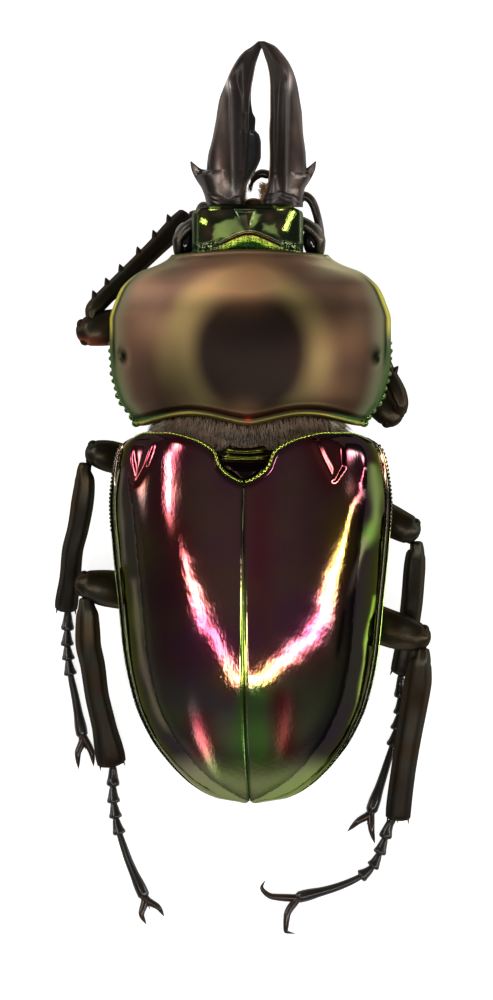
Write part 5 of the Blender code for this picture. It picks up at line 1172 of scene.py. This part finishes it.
# Foot: five tubes that widen towards their ends, two curved claws and a bristle between them.
def makeFoot(key, leg):
    dense = densePath([(*point, 0.0, 0.0) for point in leg["tarsus"]], 401)
    shares = legLook["footJoints"]
    lumps = []
    for number, (start, end) in enumerate(zip(shares[:-1], shares[1:])):
        last = number == 4
        t = np.linspace(-0.12 if number else 0.0, 1.0, 26)
        k = np.clip(np.round((start + (end - start) * t) * 400).astype(int), 0, 400)
        waistWidth, collar = (0.35, 0.46) if last else (0.4, 0.5)
        wide = smoothValue(t, ((-0.12, 0.16), (0.05, 0.25), (0.6, waistWidth), (0.86, collar), (0.97, 0.45),
                               (1.0, 0.3)))
        lumps.append(tube(np.column_stack((dense[k, :3], wide, wide * 0.88)), 20, 0.25, 0.0))
    root = dense[-12, :3]
    claws = []
    for points in leg["claws"]:
        path = densePath([tuple(root)] + list(points), 40)
        size = smoothValue(np.linspace(0, 1, 40), legLook["clawSize"])
        claws.append(tube(np.column_stack((path, size, size)), 16, 0.3, 0.0))
    middle = (np.array(leg["claws"][0][0]) + np.array(leg["claws"][1][0])) / 2
    ahead = dense[-1, :3] - dense[-30, :3]
    ahead /= np.linalg.norm(ahead)
    claws.append(spineLump(root, middle + ahead * 0.75, 0.15))
    footCount = sum(len(points) for points, faces in lumps)
    clawCount = sum(len(points) for points, faces in claws)
    tints = np.concatenate((np.tile(legLook["dark"], (footCount, 1)),
                            np.tile(legLook["claw"], (clawCount, 1))))
    makePiece("foot_" + key, lumps + claws, brownClaw, ["tarsus_" + key], tints)


# Hair: each one is a thin spike of three sides that tapers towards its tip. Its texture layout follows the
# places of the roots.
def makeHair(name, roots, tips, width, seed, colours):
    draw = np.random.default_rng(seed)
    roots, tips = np.asarray(roots, dtype=float), np.asarray(tips, dtype=float)
    count = len(roots)
    t = np.array((0.0, 0.35, 0.7, 1.0))
    path = roots[:, None] + (tips - roots)[:, None] * t[None, :, None]
    along = tips - roots
    side = np.cross(along, draw.normal(size=(count, 3)))
    side /= np.linalg.norm(side, axis=1)[:, None]
    over = np.cross(along, side)
    over /= np.linalg.norm(over, axis=1)[:, None]
    size = width * np.array((1.0, 0.8, 0.45, 0.05))
    corner = np.array((0.0, 2.094, 4.189))
    rings = (path[:, :, None] + (size[:, None] * np.cos(corner))[None, ..., None] * side[:, None, None]
             + (size[:, None] * np.sin(corner))[None, ..., None] * over[:, None, None])
    points = rings.reshape(-1, 3)
    quads = (gridFaces(4, 3, True)[None] + 12 * np.arange(count)[:, None, None]).reshape(-1, 4)
    caps = (np.array(((0, 2, 1), (9, 10, 11)))[None] + 12 * np.arange(count)[:, None, None]).reshape(-1, 3)
    mesh = bpy.data.meshes.new(name)
    mesh.from_pydata((points * mm).tolist(), [], quads.tolist() + caps.tolist())
    shade = draw.random(count)
    values = np.ones((count, 12, 4), dtype=np.float32)
    values[..., :3] = mixTint(colours[0], colours[1], shade)[:, None]
    colour = mesh.attributes.new("tint", "FLOAT_COLOR", "POINT")
    colour.data.foreach_set("color", values.ravel())
    layer = mesh.uv_layers.new(name="OFBake")
    span = np.ptp(roots[:, :2], axis=0) + 1e-6
    spot = (roots[:, :2] - roots[:, :2].min(axis=0)) / span * 0.99
    loops = np.array([loop.vertex_index for loop in mesh.loops])
    local = np.stack((loops % 3, loops // 3 % 4), axis=1) * 0.001
    layer.data.foreach_set("uv", (spot[loops // 12] + local).astype(np.float32).ravel())
    mesh.materials.append(hairAmber)
    mesh.shade_smooth()
    piece = bpy.data.objects.new(name, mesh)
    bpy.context.scene.collection.objects.link(piece)
    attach(piece, "root")


hair = {"mouthCount": 260, "palpCount": 60, "waistCount": 2600,
        "mouth": ((0.45, 0.2, 0.05), (0.75, 0.5, 0.2)), "palp": ((0.02, 0.012, 0.008), (0.2, 0.1, 0.04)),
        "palpTip": (0.5, 23.0, 4.9), "waist": ((0.28, 0.19, 0.13), (0.62, 0.46, 0.32)),
        "side": ((0.5, 0.42, 0.28), (0.85, 0.78, 0.6))}


# Hair beside the lip, at one palp's tip, on the waist and longer and paler at the sides of the waist.
def makeAllHair():
    draw = np.random.default_rng(5)
    count = hair["mouthCount"]
    x = np.concatenate((draw.uniform(-0.4, -0.1, count), draw.uniform(1.35, 1.8, count)))
    y = np.concatenate((draw.uniform(21.5, 23.2, count), draw.uniform(21.5, 22.9, count)))
    roots = np.stack((x, y, draw.uniform(6.3, 7.4, 2 * count)), axis=1)
    inward = np.where(x < 0.6, 1.0, -1.0)
    tips = roots + np.stack((inward * draw.uniform(0.15, 0.5, 2 * count), draw.uniform(-0.1, 0.35, 2 * count),
                             draw.uniform(-0.2, 0.2, 2 * count)), axis=1)
    makeHair("mouthHair", roots, tips, 0.03, 6, hair["mouth"])
    tip, count = np.array(hair["palpTip"]), hair["palpCount"]
    ends = tip + np.stack((draw.uniform(-0.25, 0.15, count), draw.uniform(-0.75, -0.3, count),
                           draw.uniform(-0.1, 0.1, count)), axis=1)
    makeHair("palpHair", tip + draw.normal(scale=0.08, size=(count, 3)), ends, 0.022, 7, hair["palp"])
    count = hair["waistCount"]
    v = draw.uniform(-1, 1, count)
    x = v * (waist["half"] - 0.1)
    front, rear = shieldRear(x), np.maximum(smoothValue(np.abs(x), wingFront), 2.9)
    y = front + (rear - front) * draw.uniform(-0.02, 0.9, count)
    z = 6.7 + 3.05 * dome(v, 3.0, 0.5) + 0.2
    roots = leaned(np.stack((x, y, z), axis=1), leanHind)
    tips = roots + np.stack((draw.normal(scale=0.12, size=count) + 0.25 * v, -draw.uniform(0.35, 0.8, count),
                             draw.uniform(0.02, 0.3, count)), axis=1)
    edge = np.abs(v) > 0.86
    makeHair("waistHair", roots[~edge], tips[~edge], 0.022, 8, hair["waist"])
    tips[edge] += np.stack((0.5 * np.sign(v[edge]), np.zeros(edge.sum()), np.zeros(edge.sum())), axis=1)
    makeHair("sideHair", roots[edge], tips[edge], 0.028, 9, hair["side"])


# Camera straight above, framed as in the photograph, and a long way off so that heights hardly spread.
view = {"middle": (0.15, -0.75), "focusHeight": 6.0, "distance": 1500.0, "frameHeight": 75.0}


def makeCamera():
    lens = bpy.data.cameras.new("camera")
    lens.sensor_fit = "VERTICAL"
    lens.sensor_height = 36.0
    lens.lens = 36.0 * view["distance"] / view["frameHeight"]
    lens.clip_end = 10.0
    camera = bpy.data.objects.new("camera", lens)
    camera.location = (view["middle"][0] * mm, view["middle"][1] * mm,
                       (view["focusHeight"] + view["distance"]) * mm)
    bpy.context.scene.collection.objects.link(camera)
    bpy.context.scene.camera = camera


# The sky is laid out flat by dividing the sideways parts of a direction by one plus its height, so the
# horizon is a circle of radius one. A narrow bright strip crosses it from side to side, behind the middle.
studio = {"strip": 17.0, "stripWidth": 0.013, "zenith": 0.04, "base": 0.036, "rear": 0.05, "side": 0.1,
          "floorGlow": 0.84, "floorShine": 0.3, "floorHalf": 400.0, "floorDrop": 0.2,
          "stripPlace": ((-1.5, 0.3), (-0.6, 0.2), (-0.28, 0.013), (-0.246, -0.016), (-0.21, -0.054),
                         (-0.175, -0.068), (-0.153, -0.078), (-0.111, -0.097), (-0.092, -0.105),
                         (-0.066, -0.126), (-0.044, -0.152), (-0.025, -0.18), (-0.004, -0.215),
                         (0.021, -0.212), (0.071, -0.188), (0.145, -0.158), (0.241, -0.135),
                         (0.337, -0.115), (0.429, -0.093), (0.547, -0.07), (0.594, -0.053), (0.648, -0.022),
                         (0.68, 0.02), (0.705, 0.057), (0.812, 0.076), (0.965, 0.06), (1.5, 0.3)),
          "stripPower": ((-1.5, 0.0), (-0.27, 0.0), (-0.245, 0.5), (-0.22, 1.0), (-0.14, 1.0), (-0.118, 0.35),
                         (-0.1, 0.4), (-0.085, 0.8), (0.0, 1.0), (0.62, 1.0), (0.8, 0.8), (0.95, 0.7),
                         (1.5, 0.3)),
          "lamps": ((-0.34, 0.14, 0.026, 0.055, 1.0), (-0.29, 0.3, 0.03, 0.1, 0.8),
                    (0.66, 0.27, 0.05, 0.07, 0.8), (-0.72, 0.25, 0.06, 0.1, 0.5),
                    (-0.25, -0.6, 0.045, 0.14, 0.2), (0.17, -0.47, 0.035, 0.13, 0.02),
                    (0.0, -0.82, 0.5, 0.12, 0.03))}


def makeWorld():
    world = bpy.data.worlds.new("studio")
    bpy.context.scene.world = world
    world.use_nodes = True
    nodes, links = world.node_tree.nodes, world.node_tree.links
    compute = arithmetic(world.node_tree)
    background = nodes["Background"]
    place = nodes.new("ShaderNodeTexCoord")
    split = nodes.new("ShaderNodeSeparateXYZ")
    links.new(place.outputs["Generated"], split.inputs["Vector"])

    # Value of a smooth curve through (place, value) points, for places from -1.5 to 1.5
    def curve(value, table):
        node = nodes.new("ShaderNodeFloatCurve")
        points = node.mapping.curves[0].points
        for number, (x, y) in enumerate(table):
            spot = ((x + 1.5) / 3, y + 0.5)
            if number in (0, len(table) - 1):
                points[0 if number == 0 else -1].location = spot
            else:
                points.new(*spot)
        node.mapping.use_clip = False
        node.mapping.update()
        links.new(compute("DIVIDE", compute("ADD", value, 1.5), 3.0), node.inputs["Value"])
        return compute("SUBTRACT", node.outputs[0], 0.5)

    def bell(value, middle, width):
        away = compute("DIVIDE", compute("SUBTRACT", value, middle), width)
        return compute("EXPONENT", compute("MULTIPLY", compute("MULTIPLY", away, away), -1.0))

    below = compute("MAXIMUM", compute("ADD", split.outputs["Z"], 1.0), 0.05)
    x = compute("DIVIDE", split.outputs["X"], below)
    y = compute("DIVIDE", split.outputs["Y"], below)
    radius = compute("SQRT", compute("ADD", compute("MULTIPLY", x, x), compute("MULTIPLY", y, y)))
    width = compute("ADD", studio["stripWidth"], compute("MULTIPLY", bell(x, 0.55, 0.15), 0.009))
    across = bell(y, curve(x, studio["stripPlace"]), width)
    strip = compute("MULTIPLY", across, compute("MULTIPLY", curve(x, studio["stripPower"]), studio["strip"]))
    strip = compute("MAXIMUM", strip, 0.0)
    for lampX, lampY, wide, deep, power in studio["lamps"]:
        lamp = compute("MULTIPLY", bell(x, lampX, wide), bell(y, lampY, deep))
        strip = compute("ADD", strip, compute("MULTIPLY", lamp, studio["strip"] * power))
    glow = compute("MULTIPLY", bell(radius, 0.0, 0.27), studio["zenith"])
    rear = compute("MULTIPLY", compute("MULTIPLY", bell(y, -0.48, 0.13), bell(x, 0.0, 0.4)), studio["rear"])
    side = compute("MULTIPLY", bell(radius, 0.95, 0.12), studio["side"])
    light = compute("ADD", compute("ADD", strip, glow), compute("ADD", rear, side))
    links.new(compute("ADD", light, studio["base"]), background.inputs["Strength"])
    background.inputs["Color"].default_value = (1.0, 0.99, 0.97, 1.0)


# White floor a little below the feet, so that it doesn't cut into them.
def makeFloor():
    half, level = studio["floorHalf"] * mm, -studio["floorDrop"] * mm
    mesh = bpy.data.meshes.new("floor")
    corners = [(-half, -half, level), (half, -half, level), (half, half, level), (-half, half, level)]
    mesh.from_pydata(corners, [], [(0, 1, 2, 3)])
    floor = bpy.data.objects.new("floor", mesh)
    material = bpy.data.materials.new("paleFloor")
    material.use_nodes = True
    shader = material.node_tree.nodes["Principled BSDF"]
    shader.inputs["Base Color"].default_value = (0.9, 0.9, 0.9, 1.0)
    shader.inputs["Roughness"].default_value = 0.9
    shader.inputs["Emission Color"].default_value = (1.0, 1.0, 1.0, 1.0)
    # The floor glows white for the camera and stays dim in reflections
    seen = material.node_tree.nodes.new("ShaderNodeLightPath")
    glow = material.node_tree.nodes.new("ShaderNodeMapRange")
    glow.inputs["To Min"].default_value = studio["floorShine"]
    glow.inputs["To Max"].default_value = studio["floorGlow"]
    material.node_tree.links.new(seen.outputs["Is Camera Ray"], glow.inputs["Value"])
    material.node_tree.links.new(glow.outputs["Result"], shader.inputs["Emission Strength"])
    mesh.materials.append(material)
    bpy.context.scene.collection.objects.link(floor)


makeCamera()
makeWorld()
makeFloor()
bpy.context.scene.view_settings.view_transform = "Standard"
print("camera, light and floor ready")
makeWings()
makeShield()
makeBelly()
makeWaist()
print("body ready")
makeHead()
for jawSide in ("left", "right"):
    makeJaw(jawSide)
    makeFeeler(jawSide)
makeMouth()
print("head ready")
for legKey, legParts in legs.items():
    makeCoxaAndFemur(legKey, legParts)
    makeTibia(legKey, legParts)
    makeFoot(legKey, legParts)
print("legs ready")
makeAllHair()
print("hair ready")
